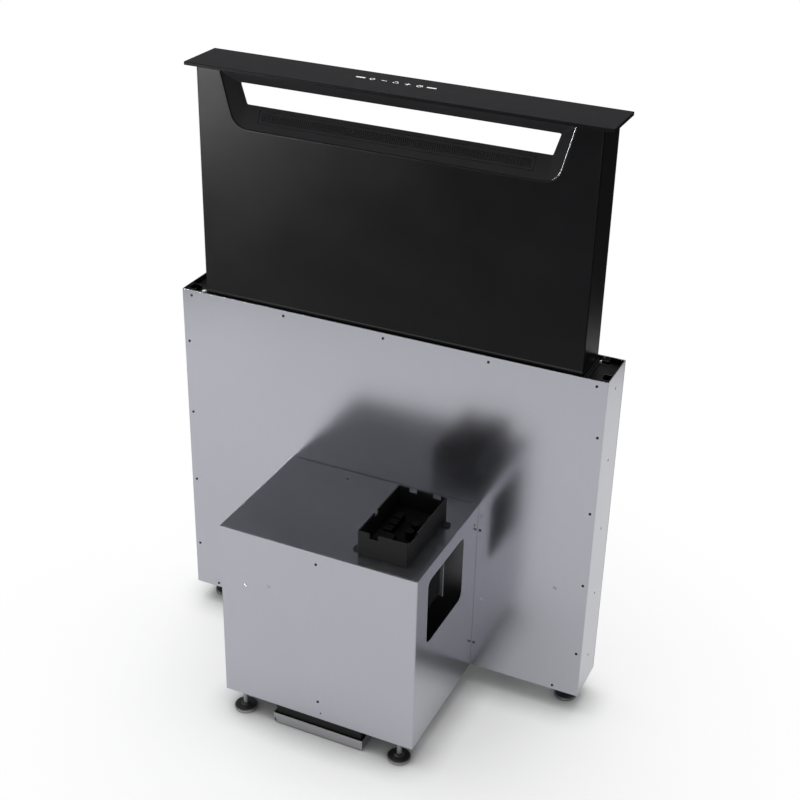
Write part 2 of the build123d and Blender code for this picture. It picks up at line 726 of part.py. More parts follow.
def scroll_profile(grow):
    # logarithmic spiral round the wheel, and the straight outlet below its front side
    spans = 12
    points = []
    for step in range(spans + 1):
        angle = tongue_angle + (spiral_end - tongue_angle) * step / spans
        radius = tongue_radius * math.exp(spiral_growth * (angle - tongue_angle)) + grow
        points.append((radius * math.cos(angle), radius * math.sin(angle)))
    spiral = Spline(*points)
    closing = Line(points[-1], points[0])
    volute = make_face([spiral, closing])
    left = -scroll_radius - grow
    right = -tongue_offset + grow
    drop = scroll_foot_z - blower_z
    leg = make_face(Polyline((left, drop), (right, drop), (right, points[0][1] + grow * 2 + 2),
                             (-tongue_radius / 2, 0), (left, 0), close=True))
    return Plane.YZ * (volute + leg)


def place_blower(part):
    return Pos(box_x, blower_y, blower_z) * part


def scroll_wrap():
    inner_half = scroll_half - sheet
    outside = extrude(scroll_profile(sheet), inner_half, both=True)
    inside = extrude(scroll_profile(0), inner_half + through, both=True)
    return place_blower(outside - inside)


def scroll_side(side):
    # side plate with a bell mouth rolled inwards round the inlet
    rim = inlet_radius + bell_radius
    plate = extrude(scroll_profile(sheet), sheet)
    plate -= rod_x((-through, through), 0, 0, rim)
    outer_arc = CenterArc((rim, sheet - bell_radius), bell_radius, 90, 90)
    inner_arc = CenterArc((rim, sheet - bell_radius), bell_radius - sheet, 90, 90)
    ends = [Line(outer_arc @ end, inner_arc @ end) for end in (0, 1)]
    bell = make_face([outer_arc, inner_arc, *ends])
    plate += Rot(0, 90, 0) * revolve(Plane.XZ * bell, Axis.Z)
    part = Pos(scroll_half - sheet, 0, 0) * plate
    if side < 0:
        part = mirror(part, about=Plane.YZ)
    return place_blower(part)


wheel_radius = 75.0
wheel_inner = 61.0
wheel_half = 72.0
blade_count = 30
blade_thickness = 1.4
blade_lean = math.radians(8)   # how far a blade's rim leads its inner edge
blade_belly = 0.13             # rise of the blade's arc, as a share of its chord
ring_width = 7.0
ring_thickness = 4.0
disc_thickness = 2.4
hub_size = (13.0, 18.0)        # radius and length of the wheel's hub
wheel_shaft_radius = 4.0
wheel_shaft_reach = (20.0, 62.0)           # to the left and right of the wheel's middle


def blade_section():
    # forward-curved blade: one thin arc from the eye of the wheel to its rim
    inner = Vector(wheel_inner, 0)
    outer = Vector(wheel_radius * math.cos(blade_lean), wheel_radius * math.sin(blade_lean))
    chord = outer - inner
    belly = (inner + outer) / 2 + Vector(chord.Y, -chord.X) * blade_belly
    return trace(ThreePointArc(inner, belly, outer), blade_thickness)


def wheel_blades():
    # the strips of a double-sided squirrel-cage wheel, which run from one end ring to the other
    blade = extrude(blade_section(), wheel_half - ring_thickness, both=True)
    return [Rot(0, 0, 360 * index / blade_count) * blade for index in range(blade_count)]


def place_wheel(parts):
    return [place_blower(Rot(0, 90, 0) * part) for part in parts]


def impeller():
    # middle disc with its hub, slotted at the rim for the blades
    hub = Pos(0, 0, 1 - hub_size[1] / 2) * Cylinder(*hub_size)
    disc = Cylinder(wheel_radius - 1, disc_thickness) + hub
    disc -= Cylinder(wheel_shaft_radius, 4 * hub_size[1])
    return place_wheel([disc.cut(*wheel_blades())])[0]


def impeller_blades():
    return Compound(children=place_wheel(wheel_blades()))


def impeller_rings():
    # the two end rings that hold the blades' ends
    rim = wheel_radius + 1
    ring = Cylinder(rim, ring_thickness) - Cylinder(rim - ring_width, 2 * ring_thickness)
    rings = [Pos(0, 0, side * (wheel_half - ring_thickness / 2)) * ring for side in (-1, 1)]
    return Compound(children=place_wheel(rings))


def wheel_shaft():
    x = (box_x - wheel_shaft_reach[0], box_x + wheel_shaft_reach[1])
    return chamfer(rod_x(x, blower_y, blower_z, wheel_shaft_radius).edges(), shaft_chamfer)


motor_x = (box_x + 12.0, box_x + 98.0)
motor_radius = 36.0
motor_corner = 4.0
groove_count = 4
groove_start = 14.0            # first groove, from the motor's left end
groove_width = 6.0
groove_depth = 2.0
bearing_radius = 11.0
bearing_reach = (3.0, 5.0)     # outside and inside the motor's left end


def blower_motor():
    # finned motor can that reaches into the wheel from the right-hand inlet
    can = rod_x(motor_x, blower_y, blower_z, motor_radius)
    can = fillet(can.edges(), motor_corner)
    for index in range(groove_count):
        x = motor_x[0] + groove_start + index * 2 * groove_width
        band = rod_x((x, x + groove_width), blower_y, blower_z, motor_radius + 1)
        band -= rod_x((x - 1, x + groove_width + 1), blower_y, blower_z, motor_radius - groove_depth)
        can -= band
    bearing_x = (motor_x[0] - bearing_reach[0], motor_x[0] + bearing_reach[1])
    bearing = rod_x(bearing_x, blower_y, blower_z, bearing_radius)
    bore_x = (bearing_x[0] - through, box_x + wheel_shaft_reach[1] + through)
    return can + bearing - rod_x(bore_x, blower_y, blower_z, wheel_shaft_radius + running_gap)


spider_x = (scroll_half + 1.6, scroll_half + 4.6)     # of the arms, from the wheel's middle
spider_half = 7.0
spider_ring = 3.0
spider_foot = (inlet_radius + 9.0, inlet_radius + 18.0)
spider_sleeve = 8.0                                   # length of the ring inside the inlet


def motor_spider():
    # three-armed bracket between the motor's end and the inlet's rim
    arm_y = (-spider_half, spider_half)
    arm = block(spider_x, arm_y, (motor_radius + 1, spider_foot[1]))
    foot = block((scroll_half, spider_x[1]), arm_y, spider_foot)
    spider = rod_x((scroll_half - spider_sleeve, spider_x[1]), 0, 0, motor_radius + spider_ring)
    for turn in (90, 210, 330):
        spider += Rot(turn, 0, 0) * (arm + foot)
    spider -= rod_x((scroll_half - spider_sleeve - 1, spider_x[1] + 1), 0, 0, motor_radius)
    return place_blower(spider)


# ---------------------------------------------------------------- wiring inside and the tray on top
tray_x = (74.0, 172.0)
tray_y = (casing_front_y - 249, casing_front_y - 77)
tray_height = 50.0
tray_wall = 2.5
tray_corner = 3.0
lug_half = 8.0
lug_reach = 6.0                # middle of a screw lug, outside the tray's wall
lug_inset = 16.0               # and from the tray's corner
lug_corner = 5.0
lug_thickness = 3.0


def electronics_tray():
    # open-topped moulding with cable notches in its rim, and two screw lugs
    z = (box_top_z, box_top_z + tray_height)
    body = block(tray_x, tray_y, z)
    body = fillet(body.edges().filter_by(Axis.Z), tray_corner)
    tray = body - block((tray_x[0] + tray_wall, tray_x[1] - tray_wall),
                        (tray_y[0] + tray_wall, tray_y[1] - tray_wall), (z[0] + tray_wall, z[1] + 1))
    left_wall, right_wall, front_wall, rear_wall = [
        (wall - through, wall + through) for wall in (*tray_x, *tray_y)]
    # each notch: its run along X, its run along Y, its depth below the rim
    notches = [
        ((tray_x[0] + 22, tray_x[0] + 38), rear_wall, 9),
        ((tray_x[0] + 70, tray_x[0] + 86), rear_wall, 9),
        ((tray_x[0] + 24, tray_x[0] + 40), front_wall, 11),
        (left_wall, (tray_y[0] + 66, tray_y[0] + 80), 9),
        (right_wall, (tray_y[0] + 6, tray_y[0] + 42), 6),
    ]
    for notch_x, notch_y, depth in notches:
        tray -= block(notch_x, notch_y, (z[1] - depth, z[1] + 1))
    lug_places = ((tray_x[0] - lug_reach, tray_y[0] + lug_inset),
                  (tray_x[1] + lug_reach, tray_y[1] - lug_inset))
    for lug_x, lug_y in lug_places:
        lug = block((lug_x - lug_half, lug_x + lug_half), (lug_y - lug_half, lug_y + lug_half),
                    (z[0], z[0] + lug_thickness))
        lug = fillet(lug.edges().filter_by(Axis.Z), lug_corner)
        tray += lug - block((tray_x[0] + 1, tray_x[1] - 1), tray_y, (z[0] - 1, z[1]))
    return tray


board_margin = 5.0
board_thickness = 1.6
spacer_height = 5.0
spacer_radius = 3.0
transformer_size = (36.0, 30.0, 20.0)
relay_size = (16.0, 18.0, 14.0)
relay_count = 3
relay_pitch = 22.0
capacitor_size = (8.0, 18.0)               # radius and height
capacitor_pitch = 26.0


def control_board():
    # power board in the tray: board on spacers, transformer, relays and two capacitors
    base = box_top_z + tray_wall
    margin = tray_wall + board_margin
    x = (tray_x[0] + margin, tray_x[1] - margin)
    y = (tray_y[0] + margin, tray_y[1] - margin)
    top = base + spacer_height + board_thickness
    board = block(x, y, (base + spacer_height, top))
    for at_x in (x[0] + board_margin, x[1] - board_margin):
        for at_y in (y[0] + board_margin, y[1] - board_margin):
            board += rod_z(at_x, at_y, (base, base + spacer_height), spacer_radius)
    core_x, core_y = x[0] + 10, y[0] + 12
    board += block((core_x, core_x + transformer_size[0]), (core_y, core_y + transformer_size[1]),
                   (top, top + transformer_size[2]))
    relay_x = x[0] + 12
    for index in range(relay_count):
        relay_y = y[0] + 56 + index * relay_pitch
        board += block((relay_x, relay_x + relay_size[0]), (relay_y, relay_y + relay_size[1]),
                       (top, top + relay_size[2]))
    for index in range(2):
        board += rod_z(x[1] - 22, y[0] + 66 + index * capacitor_pitch, (top, top + capacitor_size[1]),
                       capacitor_size[0])
    return board


bracket_rear_y = casing_front_y - 124.0
bracket_width = (146.0, 190.0)             # X of the wiring bracket's two edges
bracket_foot = 16.0
bracket_drop = (foot_gap + 242.0, box_top_z - sheet)
terminal_x = (150.0, 184.0)
terminal_depth = 66.0
terminal_z = (foot_gap + 248.0, foot_gap + 350.0)
terminal_corner = 3.0
terminal_lid = (2.0, 2.5, 4.0)             # its inset in X, its thickness, its inset in Z
gland_radius = 8.0
gland_length = 12.0
gland_inset = 30.0


def wiring_bracket():
    # angle hung from the top sheet, which carries the terminal box
    plate = block(bracket_width, (bracket_rear_y - sheet, bracket_rear_y), bracket_drop)
    foot = block(bracket_width, (bracket_rear_y - sheet, bracket_rear_y + bracket_foot),
                 (bracket_drop[1] - sheet, bracket_drop[1]))
    return plate + foot


def terminal_box():
    x = terminal_x
    y = (bracket_rear_y - sheet - terminal_depth, bracket_rear_y - sheet)
    z = terminal_z
    body = fillet(block(x, y, z).edges().filter_by(Axis.Z), terminal_corner)
    inset_x, thickness, inset_z = terminal_lid
    lid = block((x[0] + inset_x, x[1] - inset_x), (y[0] - thickness, y[0]), (z[0] + inset_z, z[1] - inset_z))
    gland = rod_z((x[0] + x[1]) / 2, y[0] + gland_inset, (z[0] - gland_length, z[0]), gland_radius)
    return body + lid + gland


# ---------------------------------------------------------------- feet
pad_radius = 22.5
stem_radius = 5.0
pad_socket_z = 5.0             # the stem's end inside the pad
stem_top_z = foot_gap + 31.0
boss_radius = 11.0
boss_height = 18.0
front_foot_y = box_front_y - pad_overhang + pad_radius
front_foot_x = (box_x - 165.0, box_x + 165.0)
rear_foot_x = (-392.0, 392.0)
foot_places = {
    "front_left": (front_foot_x[0], front_foot_y),
    "front_right": (front_foot_x[1], front_foot_y),
    "rear_left": (rear_foot_x[0], casing_mid_y),
    "rear_right": (rear_foot_x[1], casing_mid_y),
}


def foot_pad(x, y):
    # turned pad with a dished top and a raised hub
    profile = make_face(Polyline((0, 0), (pad_radius - 1.5, 0), (pad_radius, 1.5), (pad_radius, 6),
                                 (pad_radius - 2, 8), (10, 9.5), (7.5, 13), (stem_radius, 13),
                                 (stem_radius, pad_socket_z), (0, pad_socket_z), close=True))
    return Pos(x, y, 0) * revolve(Plane.XZ * profile, Axis.Z)


def foot_stem(x, y):
    stem = rod_z(x, y, (pad_socket_z, stem_top_z), stem_radius)
    return chamfer(stem.edges().sort_by(Axis.Z)[-1], 1)


def foot_bosses():
    # threaded blocks welded on the floors over the four feet
    bosses = []
    seat_z = foot_gap + sheet
    for x, y in foot_places.values():
        body = rod_z(x, y, (seat_z, seat_z + boss_height), boss_radius)
        bosses.append(body - rod_z(x, y, (foot_gap, stem_top_z), stem_radius + running_gap))
    return Compound(children=bosses)


# ---------------------------------------------------------------- writing the pieces
def all_parts():
    parts = {
        "casing_front": casing_front(),
        "casing_rear": casing_rear_panel(),
        "casing_side_left": casing_side(-1),
        "casing_side_right": casing_side(1),
        "casing_floor": casing_floor(),
        "top_frame": top_frame(),
        "wiper_seal": wiper_seal(),
        "rack_left": rack(-1),
        "rack_right": rack(1),
        "guide_rail_left": guide_rail(-1),
        "guide_rail_right": guide_rail(1),
        "blower_box_front": box_front(),
        "blower_box_left": box_side(-1),
        "blower_box_right": box_side(1),
        "blower_box_cover": box_cover(),
        "blower_box_floor": box_floor(),
        "outlet_spigot": outlet_spigot(),
        "outlet_collar": outlet_collar(),
        "scroll_wrap": scroll_wrap(),
        "scroll_side_left": scroll_side(-1),
        "scroll_side_right": scroll_side(1),
        "blower_motor": blower_motor(),
        "motor_spider": motor_spider(),
        "electronics_tray": electronics_tray(),
        "control_board": control_board(),
        "wiring_bracket": wiring_bracket(),
        "terminal_box": terminal_box(),
        "foot_bosses": foot_bosses(),
        "hood_shell": hood_shell(),
        "hood_back": hood_back(),
        "recess_liner": recess_liner(),
        "cover_plate": cover_plate(),
        "touch_module": touch_module(),
        "carriage_beam": carriage_beam(),
        "carriage_end_left": carriage_end(-1),
        "carriage_end_right": carriage_end(1),
        "guide_shoe_left": guide_shoe(-1),
        "guide_shoe_right": guide_shoe(1),
        "shaft_bush_left": shaft_bush(-1),
        "shaft_bush_right": shaft_bush(1),
        "lift_motor": lift_motor(),
        "cross_shaft": cross_shaft(),
        "pinion_left": pinion(-1),
        "pinion_right": pinion(1),
        "grease_filter": grease_filter(),
        "impeller": impeller(),
        "impeller_blades": impeller_blades(),
        "impeller_rings": impeller_rings(),
        "wheel_shaft": wheel_shaft(),
        "flap_front": backdraft_flap(-1),
        "flap_rear": backdraft_flap(1),
    }
    for name, place in foot_places.items():
        parts["foot_pad_" + name] = foot_pad(*place)
        parts["foot_stem_" + name] = foot_stem(*place)
    return parts


os.makedirs("parts", exist_ok=True)
for node_name, solid in all_parts().items():
    export_step(solid, "parts/" + node_name + ".step")
    print(node_name)
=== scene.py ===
import json
import math

import bmesh
import bpy
from mathutils import Matrix, Vector


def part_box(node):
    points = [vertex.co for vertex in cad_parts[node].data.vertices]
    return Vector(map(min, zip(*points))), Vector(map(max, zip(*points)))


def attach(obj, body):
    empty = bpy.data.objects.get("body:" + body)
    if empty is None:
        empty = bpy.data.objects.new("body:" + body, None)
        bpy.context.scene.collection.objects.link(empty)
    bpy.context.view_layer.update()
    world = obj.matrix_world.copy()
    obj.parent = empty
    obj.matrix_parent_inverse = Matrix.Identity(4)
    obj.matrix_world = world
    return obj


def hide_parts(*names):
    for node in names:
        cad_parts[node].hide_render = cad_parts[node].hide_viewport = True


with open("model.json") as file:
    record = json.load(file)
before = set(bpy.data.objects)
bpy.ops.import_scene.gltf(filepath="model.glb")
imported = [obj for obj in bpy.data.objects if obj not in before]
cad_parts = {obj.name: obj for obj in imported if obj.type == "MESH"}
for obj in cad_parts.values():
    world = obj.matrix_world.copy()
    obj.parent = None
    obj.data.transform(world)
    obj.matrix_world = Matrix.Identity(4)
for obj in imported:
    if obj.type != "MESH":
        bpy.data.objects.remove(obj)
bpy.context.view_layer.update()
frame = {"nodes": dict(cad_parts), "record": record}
millimetre = 0.001


# where the photograph was taken from, in metres and degrees
photoCamera = {
    "place": (1.02084, -2.07901, 1.89587),
    "azimuth": 24.378,        # from straight in front, round towards +X
    "elevation": 28.461,      # looking down by this much
    "roll": 1.368,
    "focalLength": 65.59,     # in millimetres, like the sensor
    "sensorWidth": 36.0,
    "reach": 100.0,           # it sees this far
}


def makeCamera(settings):
    azimuth = math.radians(settings["azimuth"])
    elevation = math.radians(settings["elevation"])
    roll = math.radians(settings["roll"])
    back = Vector((math.sin(azimuth) * math.cos(elevation), -math.cos(azimuth) * math.cos(elevation),
                   math.sin(elevation)))
    levelRight = (-back).cross(Vector((0, 0, 1))).normalized()
    levelUp = levelRight.cross(-back)
    right = levelRight * math.cos(roll) + levelUp * math.sin(roll)
    up = levelUp * math.cos(roll) - levelRight * math.sin(roll)
    lens = bpy.data.cameras.new("photoCamera")
    lens.lens = settings["focalLength"]
    lens.sensor_width = settings["sensorWidth"]
    lens.clip_end = settings["reach"]
    holder = bpy.data.objects.new("photoCamera", lens)
    holder.matrix_world = Matrix((right, up, back)).transposed().to_4x4()
    holder.matrix_world.translation = Vector(settings["place"])
    bpy.context.scene.collection.objects.link(holder)
    bpy.context.scene.camera = holder


makeCamera(photoCamera)
bpy.context.scene.view_settings.view_transform = "Standard"
print("camera placed")


def feed(tree, socket, value):
    # a link where the value is another node's socket, otherwise the value itself
    if isinstance(value, bpy.types.NodeSocket):
        tree.links.new(value, socket)
    else:
        socket.default_value = value


def addNode(tree, kind, inputs=None, **settings):
    node = tree.nodes.new(kind)
    for name, value in settings.items():
        setattr(node, name, value)
    for name, value in (inputs or {}).items():
        feed(tree, node.inputs[name], value)
    return node


def newGroup(name, inputs, outputs):
    # inputs are {name: (socket kind, default)} and outputs {name: socket kind}
    group = bpy.data.node_groups.new(name, "ShaderNodeTree")
    for label, (kind, default) in inputs.items():
        socket = group.interface.new_socket(label, in_out="INPUT", socket_type="NodeSocket" + kind)
        socket.default_value = default
    for label, kind in outputs.items():
        group.interface.new_socket(label, in_out="OUTPUT", socket_type="NodeSocket" + kind)
    entry = group.nodes.new("NodeGroupInput")
    leave = group.nodes.new("NodeGroupOutput")
    return group, entry.outputs, leave.inputs


def useGroup(tree, group, inputs):
    return addNode(tree, "ShaderNodeGroup", inputs, node_tree=group).outputs


def maths(tree, operation, first, second=0.0, clamp=False):
    node = addNode(tree, "ShaderNodeMath", {0: first, 1: second}, operation=operation, use_clamp=clamp)
    return node.outputs[0]


def opposite(tree, value):
    return maths(tree, "SUBTRACT", 1.0, value)


def spread(tree, value, source, target=(0.0, 1.0)):
    # maps the source's span onto the target's and holds at both ends
    node = addNode(tree, "ShaderNodeMapRange", {"Value": value, "From Min": source[0], "From Max": source[1],
                                                "To Min": target[0], "To Max": target[1]})
    return node.outputs["Result"]


def around(middle, reach):
    return (middle - reach, middle + reach)


def blendColours(tree, amount, first, second):
    # a mix node's sockets 6 and 7 are its two colours, and its output 2 is the blend
    node = addNode(tree, "ShaderNodeMix", {0: amount, 6: first, 7: second}, data_type="RGBA")
    return node.outputs[2]


def shadeOf(tree, colour, factor):
    # a plain colour made lighter or darker by a factor that changes over the surface
    node = addNode(tree, "ShaderNodeVectorMath", {0: colour, "Scale": factor}, operation="SCALE")
    return node.outputs[0]


def objectPlace(tree):
    return tree.nodes.new("ShaderNodeTexCoord").outputs["Object"]


def along(tree, vector, axis):
    return addNode(tree, "ShaderNodeSeparateXYZ", {"Vector": vector}).outputs[axis]


def upFacing(tree):
    return along(tree, tree.nodes.new("ShaderNodeNewGeometry").outputs["True Normal"], "Z")


# the shared effects; lengths are in metres, and scales count features in a metre
noiseSpan = (0.3, 0.7)          # most of a noise's values lie between these
edgeLikeness = (0.995, 0.80)    # of the rounded to the true normal, where an edge starts and is full
crystalBend = 0.004             # how far the zinc crystals' outlines wander
dustFacing = (0.5, 1.0)         # dust starts and is full on faces that look up by this much
dustBreaks = (0.35, 0.75)       # and where a noise passes through these values


def makeSoftEdges():
    # rounded edge normals, and a mask that is 1 on the edges
    group, entry, leave = newGroup("softEdges", {"Radius": ("Float", 0.0008)},
                                   {"Normal": "Vector", "Edge": "Float"})
    bevel = addNode(group, "ShaderNodeBevel", {"Radius": entry["Radius"]}, samples=4)
    surface = group.nodes.new("ShaderNodeNewGeometry")
    likeness = addNode(group, "ShaderNodeVectorMath", {0: bevel.outputs[0], 1: surface.outputs["Normal"]},
                       operation="DOT_PRODUCT")
    group.links.new(bevel.outputs[0], leave["Normal"])
    group.links.new(spread(group, likeness.outputs["Value"], edgeLikeness), leave["Edge"])
    return group


def makeSheetGrain():
    # rolled or brushed lines along one axis, and slow clouds of tone
    group, entry, leave = newGroup(
        "sheetGrain", {"Scale": ("Vector", (900.0, 900.0, 12.0)), "Cloud Size": ("Float", 3.0)},
        {"Lines": "Float", "Clouds": "Float"})
    place = objectPlace(group)
    stretched = addNode(group, "ShaderNodeVectorMath", {0: place, 1: entry["Scale"]}, operation="MULTIPLY")
    lines = addNode(group, "ShaderNodeTexNoise", {"Vector": stretched.outputs[0], "Scale": 1.0,
                                                  "Detail": 3.0, "Roughness": 0.6})
    clouds = addNode(group, "ShaderNodeTexNoise", {"Vector": place, "Scale": entry["Cloud Size"],
                                                   "Detail": 4.0, "Roughness": 0.55, "Distortion": 0.3})
    group.links.new(lines.outputs["Fac"], leave["Lines"])
    group.links.new(clouds.outputs["Fac"], leave["Clouds"])
    return group


def makeZincSpangle():
    # crystals of a zinc coat, a few millimetres across
    group, entry, leave = newGroup("zincSpangle", {"Crystals": ("Float", 160.0)},
                                   {"Tone": "Float", "Height": "Float"})
    place = objectPlace(group)
    wobble = addNode(group, "ShaderNodeTexNoise", {"Vector": place, "Scale": 120.0, "Detail": 2.0})
    bent = addNode(group, "ShaderNodeVectorMath",
                   {0: wobble.outputs["Color"], 1: (crystalBend,) * 3, 2: place}, operation="MULTIPLY_ADD")
    crystals = addNode(group, "ShaderNodeTexVoronoi",
                       {"Vector": bent.outputs[0], "Scale": entry["Crystals"]})
    tone = addNode(group, "ShaderNodeSeparateColor", {"Color": crystals.outputs["Color"]})
    group.links.new(tone.outputs["Red"], leave["Tone"])
    group.links.new(crystals.outputs["Distance"], leave["Height"])
    return group


def makeFineGrain():
    # the even grain of powder coat or a spark-eroded mould, and a slow mottle
    group, entry, leave = newGroup("fineGrain", {"Grain": ("Float", 1800.0)},
                                   {"Height": "Float", "Mottle": "Float"})
    place = objectPlace(group)
    grain = addNode(group, "ShaderNodeTexNoise", {"Vector": place, "Scale": entry["Grain"],
                                                  "Detail": 2.0, "Roughness": 0.6})
    mottle = addNode(group, "ShaderNodeTexNoise", {"Vector": place, "Scale": 9.0,
                                                   "Detail": 5.0, "Roughness": 0.6})
    group.links.new(grain.outputs["Fac"], leave["Height"])
    group.links.new(mottle.outputs["Fac"], leave["Mottle"])
    return group


def makeSettledDust():
    # a broken veil on faces that look up
    group, entry, leave = newGroup("settledDust", {"Amount": ("Float", 0.2)}, {"Dust": "Float"})
    veil = addNode(group, "ShaderNodeTexNoise", {"Vector": objectPlace(group), "Scale": 45.0,
                                                 "Detail": 6.0, "Roughness": 0.7})
    settled = maths(group, "MULTIPLY", spread(group, upFacing(group), dustFacing),
                    spread(group, veil.outputs["Fac"], dustBreaks))
    group.links.new(maths(group, "MULTIPLY", settled, entry["Amount"]), leave["Dust"])
    return group


softEdges = makeSoftEdges()
sheetGrain = makeSheetGrain()
zincSpangle = makeZincSpangle()
fineGrain = makeFineGrain()
settledDust = makeSettledDust()
print("shared effects built")


def newMaterial(name):
    material = bpy.data.materials.new(name)
    material.use_nodes = True
    tree = material.node_tree
    return material, tree, tree.nodes["Principled BSDF"].inputs


def addBump(tree, shader, height, look, edges):
    bump = addNode(tree, "ShaderNodeBump", {"Height": height, "Strength": look["bump"],
                                            "Distance": look["bumpDepth"], "Normal": edges["Normal"]})
    tree.links.new(bump.outputs[0], shader["Normal"])


def insideBlowerBox(tree):
    # 1 where a sheet closes the blower box from behind
    low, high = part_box("blower_box_front")
    margin = 2 * millimetre
    place = objectPlace(tree)
    offCentre = maths(tree, "SUBTRACT", along(tree, place, "X"), (low.x + high.x) / 2)
    within = maths(tree, "LESS_THAN", maths(tree, "ABSOLUTE", offCentre), (high.x - low.x) / 2 - margin)
    below = maths(tree, "LESS_THAN", along(tree, place, "Z"), high.z - margin)
    return maths(tree, "MULTIPLY", within, below)


def sheetMetal(name, look):
    # rolled, brushed or zinc-coated sheet: bare metal with lines, clouds, bright edges and a veil of dust;
    # inside the blower box a pale matt veil is laid on as painted light
    material, tree, shader = newMaterial(name)
    edges = useGroup(tree, softEdges, {"Radius": look["edgeRadius"]})
    grain = useGroup(tree, sheetGrain, {"Scale": look["grain"], "Cloud Size": look["clouds"]})
    veil = useGroup(tree, settledDust, {"Amount": look["dust"]})["Dust"]
    tone = maths(tree, "ADD", spread(tree, grain["Lines"], noiseSpan, around(1.0, look["lineTone"])),
                 spread(tree, grain["Clouds"], noiseSpan, around(0.0, look["cloudTone"])))
    height = grain["Lines"]
    if look["crystals"]:
        spangle = useGroup(tree, zincSpangle, {"Crystals": look["crystals"]})
        shift = spread(tree, spangle["Tone"], (0.0, 1.0), around(0.0, look["crystalTone"]))
        tone = maths(tree, "ADD", tone, shift)
        height = maths(tree, "ADD", height, spangle["Height"])
    tone = maths(tree, "ADD", tone, maths(tree, "MULTIPLY", edges["Edge"], look["edgeTone"]))
    # painted light: inside the blower box the bare metal turns pale and matt, standing in for light that
    # reaches in through the side opening
    if look["grimeInside"]:
        grime = maths(tree, "MULTIPLY", insideBlowerBox(tree), look["grimeInside"])
        veil = maths(tree, "MAXIMUM", veil, grime)
    colour = blendColours(tree, veil, shadeOf(tree, look["colour"], tone), (*look["veilColour"], 1))
    rough = spread(tree, grain["Clouds"], noiseSpan, around(look["roughness"], look["roughSpread"]))
    rough = maths(tree, "ADD", rough, maths(tree, "MULTIPLY", veil, look["veilRoughness"]))
    tree.links.new(colour, shader["Base Color"])
    tree.links.new(rough, shader["Roughness"])
    tree.links.new(opposite(tree, veil), shader["Metallic"])
    addBump(tree, shader, height, look, edges)
    return material


def coated(name, look):
    # powder coat, moulded plastic, rubber or etched glass: fine grain, mottle, worn edges, dust
    material, tree, shader = newMaterial(name)
    edges = useGroup(tree, softEdges, {"Radius": look["edgeRadius"]})
    grain = useGroup(tree, fineGrain, {"Grain": look["grain"]})
    dust = useGroup(tree, settledDust, {"Amount": look["dust"]})["Dust"]
    tone = spread(tree, grain["Mottle"], noiseSpan, around(1.0, look["mottle"]))
    worn = maths(tree, "MULTIPLY", edges["Edge"], look["edgeWear"])
    colour = blendColours(tree, worn, shadeOf(tree, look["colour"], tone), (*look["wornColour"], 1))
    colour = blendColours(tree, dust, colour, (*look["dustColour"], 1))
    rough = spread(tree, grain["Mottle"], noiseSpan, around(look["roughness"], look["roughSpread"]))
    rough = maths(tree, "SUBTRACT", rough, maths(tree, "MULTIPLY", edges["Edge"], look["edgeGloss"]))
    tree.links.new(colour, shader["Base Color"])
    tree.links.new(maths(tree, "ADD", rough, dust), shader["Roughness"])
    shader["Specular IOR Level"].default_value = look["specular"]
    if look["polished"]:
        height = along(tree, objectPlace(tree), "Z")
        polish = spread(tree, height, look["polished"], (0.0, look["polish"]))
        tree.links.new(polish, shader["Coat Weight"])
        shader["Coat Roughness"].default_value = look["coatRoughness"]
    addBump(tree, shader, grain["Height"], look, edges)
    return material


def turnedFoot(name, look):
    # turned steel, blackened on top and over its hub; the rim and the floor side stay bright
    material, tree, shader = newMaterial(name)
    edges = useGroup(tree, softEdges, {"Radius": look["edgeRadius"]})
    grain = useGroup(tree, fineGrain, {"Grain": look["grain"]})
    dust = useGroup(tree, settledDust, {"Amount": look["dust"]})["Dust"]
    black = maths(tree, "MAXIMUM", spread(tree, upFacing(tree), look["blackFacing"]),
                  spread(tree, along(tree, objectPlace(tree), "Z"), look["blackFrom"]))
    rubbed = maths(tree, "MULTIPLY", edges["Edge"], look["rubbedEdge"])
    black = maths(tree, "SUBTRACT", black, rubbed, clamp=True)
    tone = spread(tree, grain["Mottle"], noiseSpan, around(1.0, look["mottle"]))
    colour = blendColours(tree, black, shadeOf(tree, look["colour"], tone), (*look["blackened"], 1))
    colour = blendColours(tree, dust, colour, (*look["dustColour"], 1))
    rough = spread(tree, black, (0.0, 1.0), (look["roughness"], look["blackRoughness"]))
    tree.links.new(colour, shader["Base Color"])
    tree.links.new(maths(tree, "ADD", rough, dust), shader["Roughness"])
    tree.links.new(opposite(tree, maths(tree, "MULTIPLY", black, look["blackCover"])), shader["Metallic"])
    addBump(tree, shader, grain["Height"], look, edges)
    return material


def sheetLook(**changes):
    look = {"colour": (0.425, 0.428, 0.468), "grain": (1400.0, 1400.0, 14.0), "clouds": 2.2,
            "lineTone": 0.03, "cloudTone": 0.02, "roughness": 0.21, "roughSpread": 0.025,
            "edgeRadius": 0.0005, "edgeTone": 0.10, "bump": 0.05, "bumpDepth": 0.0002,
            "crystals": 0.0, "crystalTone": 0.0,
            "dust": 0.02, "grimeInside": 0.0, "veilColour": (0.23, 0.23, 0.235), "veilRoughness": 0.5}
    look.update(changes)
    return look


def coatLook(**changes):
    look = {"colour": (0.0045, 0.0045, 0.0052), "grain": 1500.0, "mottle": 0.10, "roughness": 0.31,
            "roughSpread": 0.03, "specular": 0.10, "edgeRadius": 0.0008, "edgeWear": 0.25,
            "wornColour": (0.022, 0.022, 0.024), "edgeGloss": 0.08, "bump": 0.10, "bumpDepth": 0.0001,
            "dust": 0.03, "dustColour": (0.30, 0.29, 0.28),
            "polished": None, "polish": 0.8, "coatRoughness": 0.12}
    look.update(changes)
    return look


